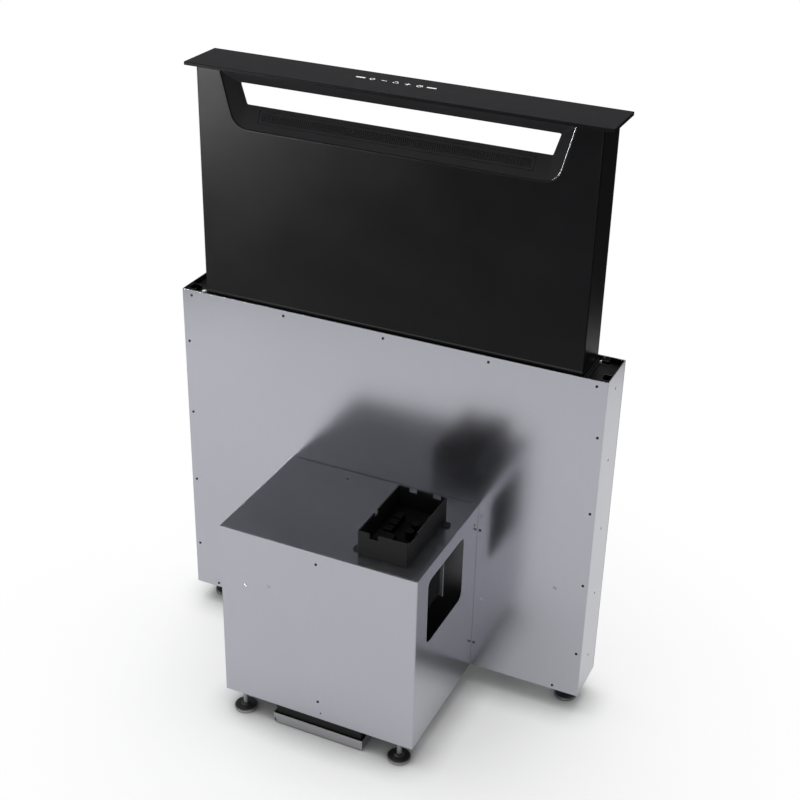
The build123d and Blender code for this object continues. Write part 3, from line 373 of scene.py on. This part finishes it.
footLook = {
    "colour": (0.42, 0.42, 0.43),
    "blackened": (0.009, 0.009, 0.010),
    "blackFrom": (0.0066, 0.0076),    # black starts and is full at these heights over the floor, in metres
    "blackFacing": (0.55, 0.75),      # and on faces that look up by this much
    "blackCover": 0.8,                # how much of the bare metal it hides
    "blackRoughness": 0.50,
    "rubbedEdge": 0.25,
    "grain": 1200.0,
    "mottle": 0.12,
    "roughness": 0.26,
    "edgeRadius": 0.0008,
    "bump": 0.08,
    "bumpDepth": 0.0001,
    "dust": 0.06,
    "dustColour": (0.30, 0.29, 0.28),
}
# where the raised hood stands in the casing its paint is rubbed glossy: not at all above the first of these
# heights over the casing's rim, in millimetres, and fully below the second
hoodPolish = (7.2, 5.6)


def hoodPolishHeights():
    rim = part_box("casing_front")[1].z
    return [rim + above * millimetre for above in hoodPolish]


finishes = {
    "steel": sheetMetal("satinSteelSheet", sheetLook()),
    # the front sheet, with painted light on its part inside the blower box
    "steelPaintedLightInside": sheetMetal("satinSteelFrontSheet", sheetLook(grimeInside=0.9)),
    # the top sheet: grained across, and painted lighter than the other sheets so that the box's top shows
    # brighter, as painted light
    "steelAcrossPaintedLighter": sheetMetal("satinSteelTopSheet", sheetLook(
        colour=(0.505, 0.51, 0.55), grain=(1400.0, 14.0, 1400.0), dust=0.05)),
    "galvanised": sheetMetal("zincCoatedSheet", sheetLook(
        colour=(0.50, 0.51, 0.52), grain=(300.0, 300.0, 60.0), roughness=0.38, crystals=150.0,
        crystalTone=0.07)),
    "machined_steel": sheetMetal("machinedSteel", sheetLook(
        colour=(0.50, 0.50, 0.51), grain=(30.0, 2500.0, 2500.0), roughness=0.27, bump=0.12, dust=0.0)),
    "foot_steel": turnedFoot("turnedFootSteel", footLook),
    "aluminium": sheetMetal("millAluminium", sheetLook(
        colour=(0.40, 0.40, 0.41), grain=(20.0, 1500.0, 1500.0), roughness=0.34, bump=0.08)),
    "threadSteel": sheetMetal("threadedStemSteel", sheetLook(
        colour=(0.46, 0.46, 0.47), grain=(700.0, 700.0, 700.0), roughness=0.28, edgeRadius=0.0002)),
    "screwBlack": sheetMetal("blackenedScrew", sheetLook(
        colour=(0.03, 0.03, 0.032), grain=(900.0, 900.0, 900.0), roughness=0.40, dust=0.0)),
    # painted glint: bright steel for the right leg of the mouth trim, where its rounded edge would catch the
    # light
    "lipGlintSteel": sheetMetal("paintedGlintEdgeTrim", sheetLook(
        colour=(0.19, 0.19, 0.20), grain=(60.0, 900.0, 900.0), roughness=0.20, edgeRadius=0.0003, bump=0.02,
        dust=0.0)),
    "darkenedSteel": sheetMetal("phosphatedSteel", sheetLook(
        colour=(0.05, 0.05, 0.052), grain=(900.0, 900.0, 40.0), roughness=0.42, bump=0.10, dust=0.0)),
    "lipBlack": coated("blackEdgeTrim", coatLook(
        colour=(0.005, 0.005, 0.006), roughness=0.34, specular=0.13, edgeRadius=0.0003, bump=0.05,
        dust=0.0)),
    "black_paint": coated("satinBlackPowderCoat", coatLook()),
    "hoodPaint": coated("hoodPowderCoat", coatLook(polished=hoodPolishHeights())),
    "black_glass": coated("etchedBlackGlass", coatLook(
        colour=(0.007, 0.007, 0.008), grain=2600.0, roughness=0.34, specular=0.03, bump=0.04, edgeWear=0.35,
        dust=0.015)),
    "linerPlastic": coated("recessPlastic", coatLook(
        colour=(0.013, 0.013, 0.014), grain=900.0, roughness=0.48, specular=0.14, bump=0.2)),
    "black_plastic": coated("mouldedBlackPlastic", coatLook(
        colour=(0.0045, 0.0045, 0.005), grain=900.0, roughness=0.62, specular=0.20, bump=0.25)),
    "deepBlack": coated("terminalBoxPlastic", coatLook(
        colour=(0.0016, 0.0016, 0.0018), grain=1100.0, roughness=0.55, specular=0.05, edgeWear=0.1)),
    "wheel_plastic": coated("fanWheelPlastic", coatLook(colour=(0.075, 0.075, 0.08), roughness=0.45)),
    "nylon": coated("naturalNylon", coatLook(
        colour=(0.80, 0.79, 0.76), roughness=0.42, specular=0.5, edgeWear=0.2,
        wornColour=(0.8, 0.78, 0.72))),
    "circuit_board": coated("varnishedBoard", coatLook(
        colour=(0.0013, 0.0016, 0.0015), roughness=0.6, specular=0.03, dust=0.01)),
    "motor_paint": coated("motorEnamel", coatLook(colour=(0.05, 0.05, 0.055), roughness=0.32, specular=0.5)),
    "rubber": coated("sealRubber", coatLook(
        colour=(0.010, 0.010, 0.010), grain=700.0, roughness=0.75, specular=0.25)),
    "keyInk": coated("whiteKeyInk", coatLook(
        colour=(0.80, 0.80, 0.80), mottle=0.04, roughness=0.5, specular=0.4, edgeWear=0.0, bump=0.02,
        dust=0.0)),
}
# nodes whose finish isn't simply that of their material slot
ownFinishes = {
    "casing_front": "steelPaintedLightInside",
    "hood_shell": "hoodPaint",
    "blower_box_cover": "steelAcrossPaintedLighter",
    "recess_liner": "linerPlastic",
    "grease_filter": "linerPlastic",
    "terminal_box": "deepBlack",
    "rack_left": "darkenedSteel",
    "rack_right": "darkenedSteel",
    "guide_rail_left": "darkenedSteel",
    "guide_rail_right": "darkenedSteel",
}


def dressNodes():
    for part in frame["record"]["subparts"]:
        piece = frame["nodes"][part["node"]]
        key = ownFinishes.get(part["node"], part["material_slot"])
        piece.data.materials.clear()
        piece.data.materials.append(finishes[key])


dressNodes()
print("finishes assigned")


# the studio, in metres, watts and degrees; tones and strengths are shares of white
studio = {
    "floorHalf": 20.0,
    "floorTone": 0.90,
    "floorGlow": 0.45,           # share of the floor's white that no shadow takes away
    # painted contact shadow: near the object the floor's matt tone and its glow fall with ambient occlusion
    "contactReach": 0.075,       # how far from the object the floor darkens towards it
    "contactShade": 0.6,         # how fast its matt tone falls there, as a power of its openness
    "contactGlow": 3.0,          # and its glow
    "whiteReach": (0.30, 0.95),  # the camera sees the floor turn plain white between these
    "sweepReach": (1.70, 2.00),  # reflections show the white sweep fade out between these
    "beyondSweep": 0.03,         # brightness of what they show beyond it
    "roomColour": (0.97, 0.98, 1.0, 1),
    "skyRise": (0.05, 0.55),     # between these heights over the horizon, as sines, the room dims
    "skyTone": (0.50, 0.15),     # from the first of these strengths to the second
    "lamps": {
        "overheadSoftbox": {"place": (-0.5, 0.5, 4.0), "aim": (0.0, 0.1, 0.3), "size": 4.0, "power": 185.0,
                            "spread": 180.0},
        "leftPanel": {"place": (-2.6, -2.9, 0.45), "aim": (-0.4, 0.1, 1.05), "size": 0.8, "power": 12.0,
                      "spread": 60.0},
        "rightPanel": {"place": (0.9, -2.9, 0.55), "aim": (0.4, 0.1, 0.6), "size": 0.9, "power": 17.0,
                       "spread": 180.0},
    },
}
white = (1, 1, 1, 1)


def floorWhiteness(tree, openness, distance, path):
    # share of plain white over the matt floor: its glow, and the whitening away from the object that only
    # the camera sees, laid over each other as a screen
    seen = maths(tree, "MAXIMUM", path["Is Camera Ray"], path["Is Glossy Ray"])
    seen = maths(tree, "MAXIMUM", seen, path["Is Transmission Ray"])
    glowing = maths(tree, "POWER", openness, studio["contactGlow"])
    glowing = maths(tree, "MULTIPLY", glowing, studio["floorGlow"])
    whiter = maths(tree, "MULTIPLY", spread(tree, distance, studio["whiteReach"]), path["Is Camera Ray"])
    whitened = maths(tree, "MULTIPLY", whiter, openness)
    shaded = maths(tree, "MULTIPLY", opposite(tree, maths(tree, "MULTIPLY", seen, glowing)),
                   opposite(tree, whitened))
    return opposite(tree, shaded)


def floorMaterial():
    material = bpy.data.materials.new("studioFloor")
    material.use_nodes = True
    tree = material.node_tree
    tree.nodes.clear()
    # painted contact shadow: ambient occlusion darkens the floor's matt tone and takes away its glow near
    # the object
    openness = addNode(tree, "ShaderNodeAmbientOcclusion", {"Distance": studio["contactReach"]}, samples=8)
    openness = openness.outputs["AO"]
    path = tree.nodes.new("ShaderNodeLightPath").outputs
    distance = addNode(tree, "ShaderNodeVectorMath", {0: objectPlace(tree)}, operation="LENGTH")
    distance = distance.outputs["Value"]
    tone = (studio["floorTone"],) * 3
    shade = maths(tree, "POWER", openness, studio["contactShade"])
    matt = addNode(tree, "ShaderNodeBsdfDiffuse", {"Color": shadeOf(tree, tone, shade)})
    glow = addNode(tree, "ShaderNodeEmission", {"Color": white, "Strength": 1.0})
    sweep = addNode(tree, "ShaderNodeMixShader", {"Fac": floorWhiteness(tree, openness, distance, path),
                                                  1: matt.outputs[0], 2: glow.outputs[0]})
    beyond = maths(tree, "MULTIPLY", spread(tree, distance, studio["sweepReach"]), path["Is Glossy Ray"])
    dark = addNode(tree, "ShaderNodeEmission", {"Color": white, "Strength": studio["beyondSweep"]})
    whole = addNode(tree, "ShaderNodeMixShader", {"Fac": beyond, 1: sweep.outputs[0], 2: dark.outputs[0]})
    addNode(tree, "ShaderNodeOutputMaterial", {"Surface": whole.outputs[0]})
    return material


def makeFloor():
    mesh = bpy.data.meshes.new("studioFloor")
    half = studio["floorHalf"]
    corners = [(-half, -half, 0), (half, -half, 0), (half, half, 0), (-half, half, 0)]
    mesh.from_pydata(corners, [], [(0, 1, 2, 3)])
    mesh.materials.append(floorMaterial())
    floor = bpy.data.objects.new("studioFloor", mesh)
    bpy.context.scene.collection.objects.link(floor)


def makeRoom():
    # white as a background; for the lighting, bright at the horizon and dimmer overhead
    world = bpy.data.worlds.new("studioRoom")
    world.use_nodes = True
    bpy.context.scene.world = world
    tree = world.node_tree
    tree.nodes.clear()
    height = along(tree, tree.nodes.new("ShaderNodeTexCoord").outputs["Generated"], "Z")
    strength = spread(tree, height, studio["skyRise"], studio["skyTone"])
    room = addNode(tree, "ShaderNodeBackground", {"Color": studio["roomColour"], "Strength": strength})
    backdrop = addNode(tree, "ShaderNodeBackground", {"Color": white, "Strength": 1.0})
    path = tree.nodes.new("ShaderNodeLightPath").outputs
    mix = addNode(tree, "ShaderNodeMixShader", {"Fac": path["Is Camera Ray"],
                                                1: room.outputs[0], 2: backdrop.outputs[0]})
    addNode(tree, "ShaderNodeOutputWorld", {"Surface": mix.outputs[0]})


def makeLamp(name, settings):
    lamp = bpy.data.lights.new(name, "AREA")
    lamp.shape = "SQUARE"
    lamp.size = settings["size"]
    lamp.energy = settings["power"]
    lamp.spread = math.radians(settings["spread"])
    holder = bpy.data.objects.new(name, lamp)
    place = Vector(settings["place"])
    holder.location = place
    holder.rotation_euler = (Vector(settings["aim"]) - place).to_track_quat("-Z", "Y").to_euler()
    bpy.context.scene.collection.objects.link(holder)


makeFloor()
makeRoom()
for lampName, lampSettings in studio["lamps"].items():
    makeLamp(lampName, lampSettings)
print("stage set")


def newPiece(name, mesh, finish, body):
    piece = bpy.data.objects.new(name, mesh)
    bpy.context.scene.collection.objects.link(piece)
    mesh.materials.append(finishes[finish])
    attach(piece, body)
    return piece


def meshFrom(name, build, angle=40):
    # smooth, except where faces meet at more than the angle in degrees
    bmesh.ops.recalc_face_normals(build, faces=build.faces)
    mesh = bpy.data.meshes.new(name)
    build.to_mesh(mesh)
    build.free()
    mesh.shade_smooth()
    mesh.set_sharp_from_angle(angle=math.radians(angle))
    return mesh


def ringBands(build, rings):
    # joins rings of equally many vertices into a skin, closing the first and the last
    count = len(rings[0])
    for lower, upper in zip(rings, rings[1:]):
        for step in range(count):
            following = (step + 1) % count
            build.faces.new((lower[step], lower[following], upper[following], upper[step]))
    build.faces.new(list(reversed(rings[0])))
    build.faces.new(rings[-1])


def turnProfile(build, place, axes, profile, steps, turn=0.0, lobes=0):
    # turns a profile about the last of three axes; its points are radius, height, and depth of the lobes
    # as a share of the radius
    side, across, axis = axes
    rings = []
    for radius, height, lobeDepth in profile:
        ring = []
        for step in range(steps):
            angle = 2 * math.pi * step / steps
            wave = 1 + lobeDepth * math.cos(lobes * angle)
            flat = side * math.cos(angle + turn) + across * math.sin(angle + turn)
            ring.append(build.verts.new(Vector(place) + (flat * radius * wave + axis * height) * millimetre))
        rings.append(ring)
    ringBands(build, rings)


# pan-head screws with a six-lobed recess, in millimetres
screwLook = {
    "headRadius": 2.6,
    "headHeight": 1.2,
    "dome": ((1.0, 0.0), (1.0, 0.35), (0.92, 0.72), (0.75, 1.0)),    # shares of the radius and the height
    "recessRadius": 1.4,
    "recessDepth": 0.9,
    "recessLip": 0.15,       # how far the recess's rounded lip reaches down
    "recessFlare": 1.12,     # the recess's radius at the lip and at the bottom, as shares
    "recessTaper": 0.85,
    "lobes": 6,
    "lobeDepth": 0.16,
    "turn": 0.7,             # from each screw to the next, in radians
    "steps": 36,
}
# where the screws stand, in metres
screwPlaces = {
    "topHeight": 0.677,                  # above the casing's lower edge
    "topX": (-0.410, -0.208, 0.0, 0.208, 0.410),
    "columnX": (-0.420, 0.420),
    "columnHeights": (0.100, 0.259, 0.418, 0.577),
    "bottomX": (-0.378, 0.378),
    "bottomHeight": 0.009,
    "boxFlangeX": (-0.196, 0.210),       # on the casing, beside the blower box
    "boxFlangeHeights": (0.055, 0.320),
    "boxFront": ((0.007, 0.352), (0.009, 0.040)),        # x, and height above the blower box's lower edge
    "boxFrontSmall": ((0.015, 0.014),),
    "boxTop": ((-0.056, 0.0615),),                       # x and y
    "boxSide": ((0.075, 0.34),),                         # y, and height above the lower edge
    "hoodRearX": (-0.3685, 0.3685),
    "hoodRearHeights": (0.095, 0.235, 0.375, 0.508),     # above the hood's lower edge
    "hoodRearRow": (-0.184, 0.0, 0.184),
    "hoodRearRowHeight": 0.395,
}
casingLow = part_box("casing_front")[0]
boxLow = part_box("blower_box_front")[0]


def addScrew(build, place, outward, turn, size):
    look = screwLook
    axis = Vector(outward)
    side = axis.orthogonal().normalized()
    top = look["headHeight"] * size
    recess = look["recessRadius"] * size
    floor = top - look["recessDepth"] * size
    profile = [(share * look["headRadius"] * size, rise * top, 0) for share, rise in look["dome"]]
    profile += [(recess * look["recessFlare"], top, look["lobeDepth"]),
                (recess, top - look["recessLip"], look["lobeDepth"]),
                (recess * look["recessTaper"], floor, look["lobeDepth"])]
    turnProfile(build, place, (side, axis.cross(side), axis), profile, look["steps"], turn, look["lobes"])


def makeScrews(name, places, outward, body="casing", size=1.0):
    build = bmesh.new()
    for index, place in enumerate(places):
        addScrew(build, place, outward, screwLook["turn"] * index, size)
    newPiece(name, meshFrom(name, build), "screwBlack", body)


def sheetScrewPlaces(y):
    # the rows that the casing's front and rear sheets share
    base = casingLow.z
    places = [(x, y, base + screwPlaces["topHeight"]) for x in screwPlaces["topX"]]
    for height in screwPlaces["columnHeights"]:
        places += [(x, y, base + height) for x in screwPlaces["columnX"]]
    return places + [(x, y, base + screwPlaces["bottomHeight"]) for x in screwPlaces["bottomX"]]


def flangeScrewPlaces():
    return [(x, casingLow.y, casingLow.z + height) for height in screwPlaces["boxFlangeHeights"]
            for x in screwPlaces["boxFlangeX"]]


def boxFrontScrewPlaces(key):
    return [(x, boxLow.y, boxLow.z + height) for x, height in screwPlaces[key]]


def hoodRearScrewPlaces():
    low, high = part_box("hood_back")
    rowZ = low.z + screwPlaces["hoodRearRowHeight"]
    places = [(x, high.y, low.z + height) for height in screwPlaces["hoodRearHeights"]
              for x in screwPlaces["hoodRearX"]]
    return places + [(x, high.y, rowZ) for x in screwPlaces["hoodRearRow"]]


def makeAllScrews():
    forward, backward, upward, rightward = (0, -1, 0), (0, 1, 0), (0, 0, 1), (1, 0, 0)
    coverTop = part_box("blower_box_cover")[1].z
    sideLow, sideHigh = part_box("blower_box_right")
    sidePlaces = [(sideHigh.x, y, sideLow.z + height) for y, height in screwPlaces["boxSide"]]
    makeScrews("casingScrews", sheetScrewPlaces(casingLow.y) + flangeScrewPlaces(), forward)
    makeScrews("casingRearScrews", sheetScrewPlaces(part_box("casing_rear")[1].y), backward)
    makeScrews("hoodRearScrews", hoodRearScrewPlaces(), backward, "hood", 0.8)
    makeScrews("boxFrontScrews", boxFrontScrewPlaces("boxFront"), forward)
    makeScrews("boxFrontSmallScrew", boxFrontScrewPlaces("boxFrontSmall"), forward, size=0.6)
    makeScrews("boxTopScrews", [(x, y, coverTop) for x, y in screwPlaces["boxTop"]], upward, size=0.8)
    makeScrews("boxSideScrews", sidePlaces, rightward, size=0.7)


makeAllScrews()
print("screws made")


# pressed location marks in the sheets: shallow round pips with a sunken middle, in millimetres
pressedMark = {
    "radius": 4.0,
    "height": 0.45,
    # shares of the radius and the height
    "profile": ((1.0, 0.0), (0.86, 0.55), (0.66, 1.0), (0.5, 0.9), (0.4, 0.35), (0.1, 0.25)),
    "steps": 28,
    # x, and height above the sheet's lower edge, in metres
    "casing": ((0.367, 0.237), (0.220, 0.164)),
    "boxFront": ((-0.140, 0.259), (-0.091, 0.273)),
}


def makePressedMarks():
    look = pressedMark
    axes = (Vector((1, 0, 0)), Vector((0, 0, 1)), Vector((0, -1, 0)))
    profile = [(share * look["radius"], rise * look["height"], 0) for share, rise in look["profile"]]
    build = bmesh.new()
    for low, places in ((casingLow, look["casing"]), (boxLow, look["boxFront"])):
        for x, height in places:
            turnProfile(build, (x, low.y, low.z + height), axes, profile, look["steps"])
    newPiece("pressedMarks", meshFrom("pressedMarks", build), "steel", "casing")


makePressedMarks()
print("pressed marks made")


# the thread cut on each levelling foot's stem, in millimetres
stemThread = {
    "pitch": 1.5,
    "crest": 4.98,
    "root": 4.15,
    "crestWidth": 0.25,     # share of the pitch that the flat crest takes
    "rootWidth": 0.25,
    "steps": 24,
    "smoothTo": 25,         # degrees
}
footNames = ("front_left", "front_right", "rear_left", "rear_right")


def threadMesh(name, low, high):
    # a helical strip of crest, flank, root and flank, cut square at both ends
    look = stemThread
    centre = (low + high) / 2
    pitch = look["pitch"] * millimetre
    crest = look["crest"] * millimetre
    root = look["root"] * millimetre
    flat = look["crestWidth"]
    flank = (1 - flat - look["rootWidth"]) / 2
    profile = ((0.0, crest), (flat, crest), (flat + flank, root), (1 - flank, root))
    steps = look["steps"]
    turns = math.ceil((high.z - low.z) / pitch) + 2
    build = bmesh.new()
    columns = []
    for step in range(turns * steps + 1):
        angle = 2 * math.pi * step / steps
        climb = low.z - pitch + pitch * step / steps
        column = []
        for share, radius in profile:
            column.append(build.verts.new((centre.x + radius * math.cos(angle),
                                           centre.y + radius * math.sin(angle), climb + share * pitch)))
        columns.append(column)
    for step in range(len(columns) - 1):
        here, after = columns[step], columns[step + 1]
        for row in range(3):
            build.faces.new((here[row], after[row], after[row + 1], here[row + 1]))
        if step + 1 + steps < len(columns):
            build.faces.new((here[3], after[3], columns[step + 1 + steps][0], columns[step + steps][0]))
    for height, upward in ((low.z, -1), (high.z, 1)):
        cut = bmesh.ops.bisect_plane(build, geom=build.verts[:] + build.edges[:] + build.faces[:],
                                     plane_co=(0, 0, height), plane_no=(0, 0, upward), clear_outer=True)
        rim = [item for item in cut["geom_cut"] if isinstance(item, bmesh.types.BMEdge)]
        bmesh.ops.holes_fill(build, edges=rim, sides=0)
    return meshFrom(name, build, look["smoothTo"])


def makeStems():
    for footName in footNames:
        name = "threadedStem_" + footName
        mesh = threadMesh(name, *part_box("foot_stem_" + footName))
        stem = newPiece(name, mesh, "threadSteel", "foot_" + footName)
        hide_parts("foot_stem_" + footName)


makeStems()
print("threaded stems made")


# edge trim pushed over the cut edge of the suction recess's mouth, open at the cover plate, in millimetres:
# bright steel down the right side and into its corner as a painted glint, black from there along the sill
# and up the left side
mouthTrim = {
    "topHalf": 332.0,
    "bottomHalf": 306.0,
    "topDrop": 3.0,         # below the cover plate
    "bottomDrop": 104.0,
    "cornerRadius": 34.0,
    "cornerSteps": 14,
    "glintSteps": 8,       # of the right corner's steps
    "proud": 0.5,           # in front of the hood's face, and into the mouth
    "roll": 1.6,            # radius of its rounded nose
    "face": 3.0,            # how far it reaches over the hood's face
    "inside": 2.6,          # and into the mouth
    "sunk": 0.1,            # its ends lie this far under the sheet's faces
    "rollSteps": 8,
}


def mouthPath():
    # points and outward directions along the mouth: down its right side, along its sill, up its left side
    look = mouthTrim
    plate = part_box("cover_plate")[0].z / millimetre
    top = plate - look["topDrop"]
    bottom = plate - look["bottomDrop"]
    slant = math.atan2(look["topHalf"] - look["bottomHalf"], top - bottom)
    sweep = math.pi / 2 - slant
    radius = look["cornerRadius"]
    centreX = look["bottomHalf"] - radius * math.tan(sweep / 2)
    path = [((look["topHalf"], top), -slant)]
    for step in range(look["cornerSteps"] + 1):
        angle = -slant - sweep * step / look["cornerSteps"]
        point = (centreX + radius * math.cos(angle), bottom + radius + radius * math.sin(angle))
        path.append((point, angle))
    mirrored = [((-x, z), math.pi - angle) for (x, z), angle in path]
    return path + mirrored[::-1]


def trimSection():
    # how far out from the mouth's edge, and how far in front of the hood's face
    look = mouthTrim
    centre = look["roll"] - look["proud"]
    section = [(look["face"], -look["sunk"]), (look["face"], look["proud"])]
    for step in range(look["rollSteps"] + 1):
        angle = math.pi / 2 * step / look["rollSteps"]
        section.append((centre - look["roll"] * math.sin(angle), look["roll"] * math.cos(angle) - centre))
    return section + [(-look["proud"], -look["inside"]), (look["sunk"], -look["inside"])]


def makeMouthTrim(name, path, finish):
    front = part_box("hood_shell")[0].y
    build = bmesh.new()
    rows = []
    for (x, z), angle in path:
        row = []
        for outward, forward in trimSection():
            row.append(build.verts.new(((x + outward * math.cos(angle)) * millimetre,
                                        front - forward * millimetre,
                                        (z + outward * math.sin(angle)) * millimetre)))
        rows.append(row)
    ringBands(build, rows)
    newPiece(name, meshFrom(name, build), finish, "hood")


def makeTrims():
    path = mouthPath()
    lastGlint = mouthTrim["glintSteps"] + 1
    # the right leg in bright steel as a painted glint, the rest in black
    makeMouthTrim("mouthTrimPaintedGlint", path[:lastGlint + 1], "lipGlintSteel")
    makeMouthTrim("mouthTrimBlack", path[lastGlint:], "lipBlack")


makeTrims()
print("mouth trim made")


# nylon pads that steady the hood at two opposite corners of its slot, in millimetres
glidePad = {
    "nearX": 0.3,           # from the seal's foot
    "inset": 2.5,           # in from the hood's front or rear face
    "frontLeft": (7.0, 8.0, 9.0),        # length, width and height
    "rearRight": (3.6, 4.5, 6.0),
    "round": 1.2,
    "roundSteps": 4,
}


def makeGlidePads():
    look = glidePad
    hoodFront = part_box("hood_shell")[0].y
    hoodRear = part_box("hood_back")[1].y
    sealLow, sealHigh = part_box("wiper_seal")
    build = bmesh.new()
    for side, (length, width, height) in ((-1, look["frontLeft"]), (1, look["rearRight"])):
        inset = (look["inset"] + width / 2) * millimetre
        middle = (side * (sealHigh.x + (look["nearX"] + length / 2) * millimetre),
                  hoodFront + inset if side < 0 else hoodRear - inset,
                  sealLow.z + height * millimetre / 2)
        pad = bmesh.ops.create_cube(build, size=1.0)["verts"]
        bmesh.ops.scale(build, verts=pad, vec=[reach * millimetre for reach in (length, width, height)])
        bmesh.ops.translate(build, verts=pad, vec=middle)
    bmesh.ops.bevel(build, geom=build.edges[:], offset=look["round"] * millimetre,
                    segments=look["roundSteps"], profile=0.5, affect="EDGES")
    newPiece("glidePads", meshFrom("glidePads", build), "nylon", "casing")


makeGlidePads()
print("glide pads made")


# woven wire in the slots of the grease filter, one strip to a slot, in millimetres
filterMesh = {
    "slots": 128,
    "slotPitch": 4.0,
    "stripWidth": 1.76,
    "stripLength": 13.9,
    "thickness": 8.0,       # of the filter that it lies in
    "below": 0.5,           # its crests lie this far under the filter's face
    "weave": 0.5,           # height of the weave
    "wire": 0.3,            # thickness of the strip
    "wires": 10,            # along a strip
    "stepsPerWire": 4,
}


def stripRows(build, face, middle, normal, upSlope):
    # cross-sections of one strip, which dips and rises over its wires
    look = filterMesh
    count = look["wires"] * look["stepsPerWire"]
    rightward = Vector((1, 0, 0))
    rows = []
    for step in range(count + 1):
        climb = (step / count - 0.5) * look["stripLength"]
        swing = math.cos(2 * math.pi * step / look["stepsPerWire"])
        dip = look["below"] + look["weave"] * (0.5 - 0.5 * swing)
        row = []
        for side, depth in ((-1, dip), (1, dip), (1, dip + look["wire"]), (-1, dip + look["wire"])):
            offset = rightward * (middle + side * look["stripWidth"] / 2) + upSlope * climb - normal * depth
            row.append(build.verts.new(face + offset * millimetre))
        rows.append(row)
    return rows


def makeFilterMesh():
    look = filterMesh
    joints = frame["record"]["behaviour"]["joints"]
    liftOut = next(joint for joint in joints if joint["name"] == "filter_lift_out")
    normal = Vector(liftOut["axis"]).normalized()
    upSlope = Vector((1, 0, 0)).cross(normal) * -1
    low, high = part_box("grease_filter")
    face = (low + high) / 2 + normal * look["thickness"] / 2 * millimetre
    build = bmesh.new()
    for slot in range(look["slots"]):
        middle = (slot - (look["slots"] - 1) / 2) * look["slotPitch"]
        ringBands(build, stripRows(build, face, middle, normal, upSlope))
    newPiece("filterMesh", meshFrom("filterMesh", build), "linerPlastic", "grease_filter")


makeFilterMesh()
print("filter mesh made")


# white key symbols printed on the cover plate
symbolLook = {
    "firstX": -0.080,       # the row's start, pitch and place, and the ink's height, in metres
    "pitch": 0.0224,
    "rowY": 0.1535,
    "inkHeight": 0.00003,
    "line": 1.5,            # line widths and sizes, in millimetres
    "boldLine": 1.95,
    "size": 10.0,
    "barLength": 17.5,
    "barWidth": 4.6,
}
symbolReach = symbolLook["size"] / 2


def inkStrip(build, points, width, closed=False):
    # flat ribbon along a path of points in millimetres
    count = len(points)
    left, right = [], []
    for index in range(count):
        before = Vector(points[index - 1] if closed or index else points[0])
        after = Vector(points[(index + 1) % count] if closed or index < count - 1 else points[-1])
        direction = (after - before).normalized()
        offset = Vector((-direction.y, direction.x)) * width / 2
        here = Vector(points[index])
        left.append(build.verts.new((*(here + offset), 0)))
        right.append(build.verts.new((*(here - offset), 0)))
    for index in range(count if closed else count - 1):
        following = (index + 1) % count
        build.faces.new((right[index], right[following], left[following], left[index]))


def arcPoints(radius, start, end, steps):
    angles = [math.radians(start + (end - start) * step / steps) for step in range(steps + 1)]
    return [(radius * math.cos(angle), radius * math.sin(angle)) for angle in angles]


def drawBar(build):
    half = symbolLook["barLength"] / 2
    inkStrip(build, [(-half, 0), (half, 0)], symbolLook["barWidth"])


def drawPower(build):
    # an open ring and a stroke in its gap
    inkStrip(build, arcPoints(symbolReach * 0.8, 120, 420, 20), symbolLook["line"])
    inkStrip(build, [(0, 0.2 * symbolReach), (0, 1.1 * symbolReach)], symbolLook["line"])


def drawMinus(build):
    inkStrip(build, [(-symbolReach, 0), (symbolReach, 0)], symbolLook["boldLine"])


def drawPlus(build):
    drawMinus(build)
    halfLine = symbolLook["boldLine"] / 2
    inkStrip(build, [(0, -symbolReach), (0, -halfLine)], symbolLook["boldLine"])
    inkStrip(build, [(0, halfLine), (0, symbolReach)], symbolLook["boldLine"])


def drawClock(build):
    # a closed ring, whose last point is one step short of the first, and two hands
    inkStrip(build, arcPoints(symbolReach, 0, 342, 19), symbolLook["line"], closed=True)
    inkStrip(build, [(0, 0.6 * symbolReach), (0, 0), (0.5 * symbolReach, 0)], symbolLook["line"])


def drawFan(build):
    # three blades, each a half ring beside the hub
    half = symbolReach * 0.5
    for turn in (90, 210, 330):
        centre = Vector((math.cos(math.radians(turn)), math.sin(math.radians(turn)))) * half
        blade = [tuple(Vector(point) + centre) for point in arcPoints(half, turn - 80, turn + 100, 10)]
        inkStrip(build, blade, symbolLook["line"])


def makeSymbols():
    build = bmesh.new()
    drawings = (drawBar, drawPower, drawMinus, drawFan, drawPlus, drawClock, drawBar)
    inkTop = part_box("cover_plate")[1].z + symbolLook["inkHeight"]
    for index, draw in enumerate(drawings):
        before = len(build.verts)
        draw(build)
        build.verts.ensure_lookup_table()
        centre = Vector((symbolLook["firstX"] + index * symbolLook["pitch"], symbolLook["rowY"], inkTop))
        for vert in build.verts[before:]:
            vert.co = vert.co * millimetre + centre
    bmesh.ops.recalc_face_normals(build, faces=build.faces)
    for face in build.faces:
        if face.normal.z < 0:
            face.normal_flip()
    mesh = bpy.data.meshes.new("keySymbols")
    build.to_mesh(mesh)
    build.free()
    newPiece("keySymbols", mesh, "keyInk", "hood")


makeSymbols()
print("key symbols made")
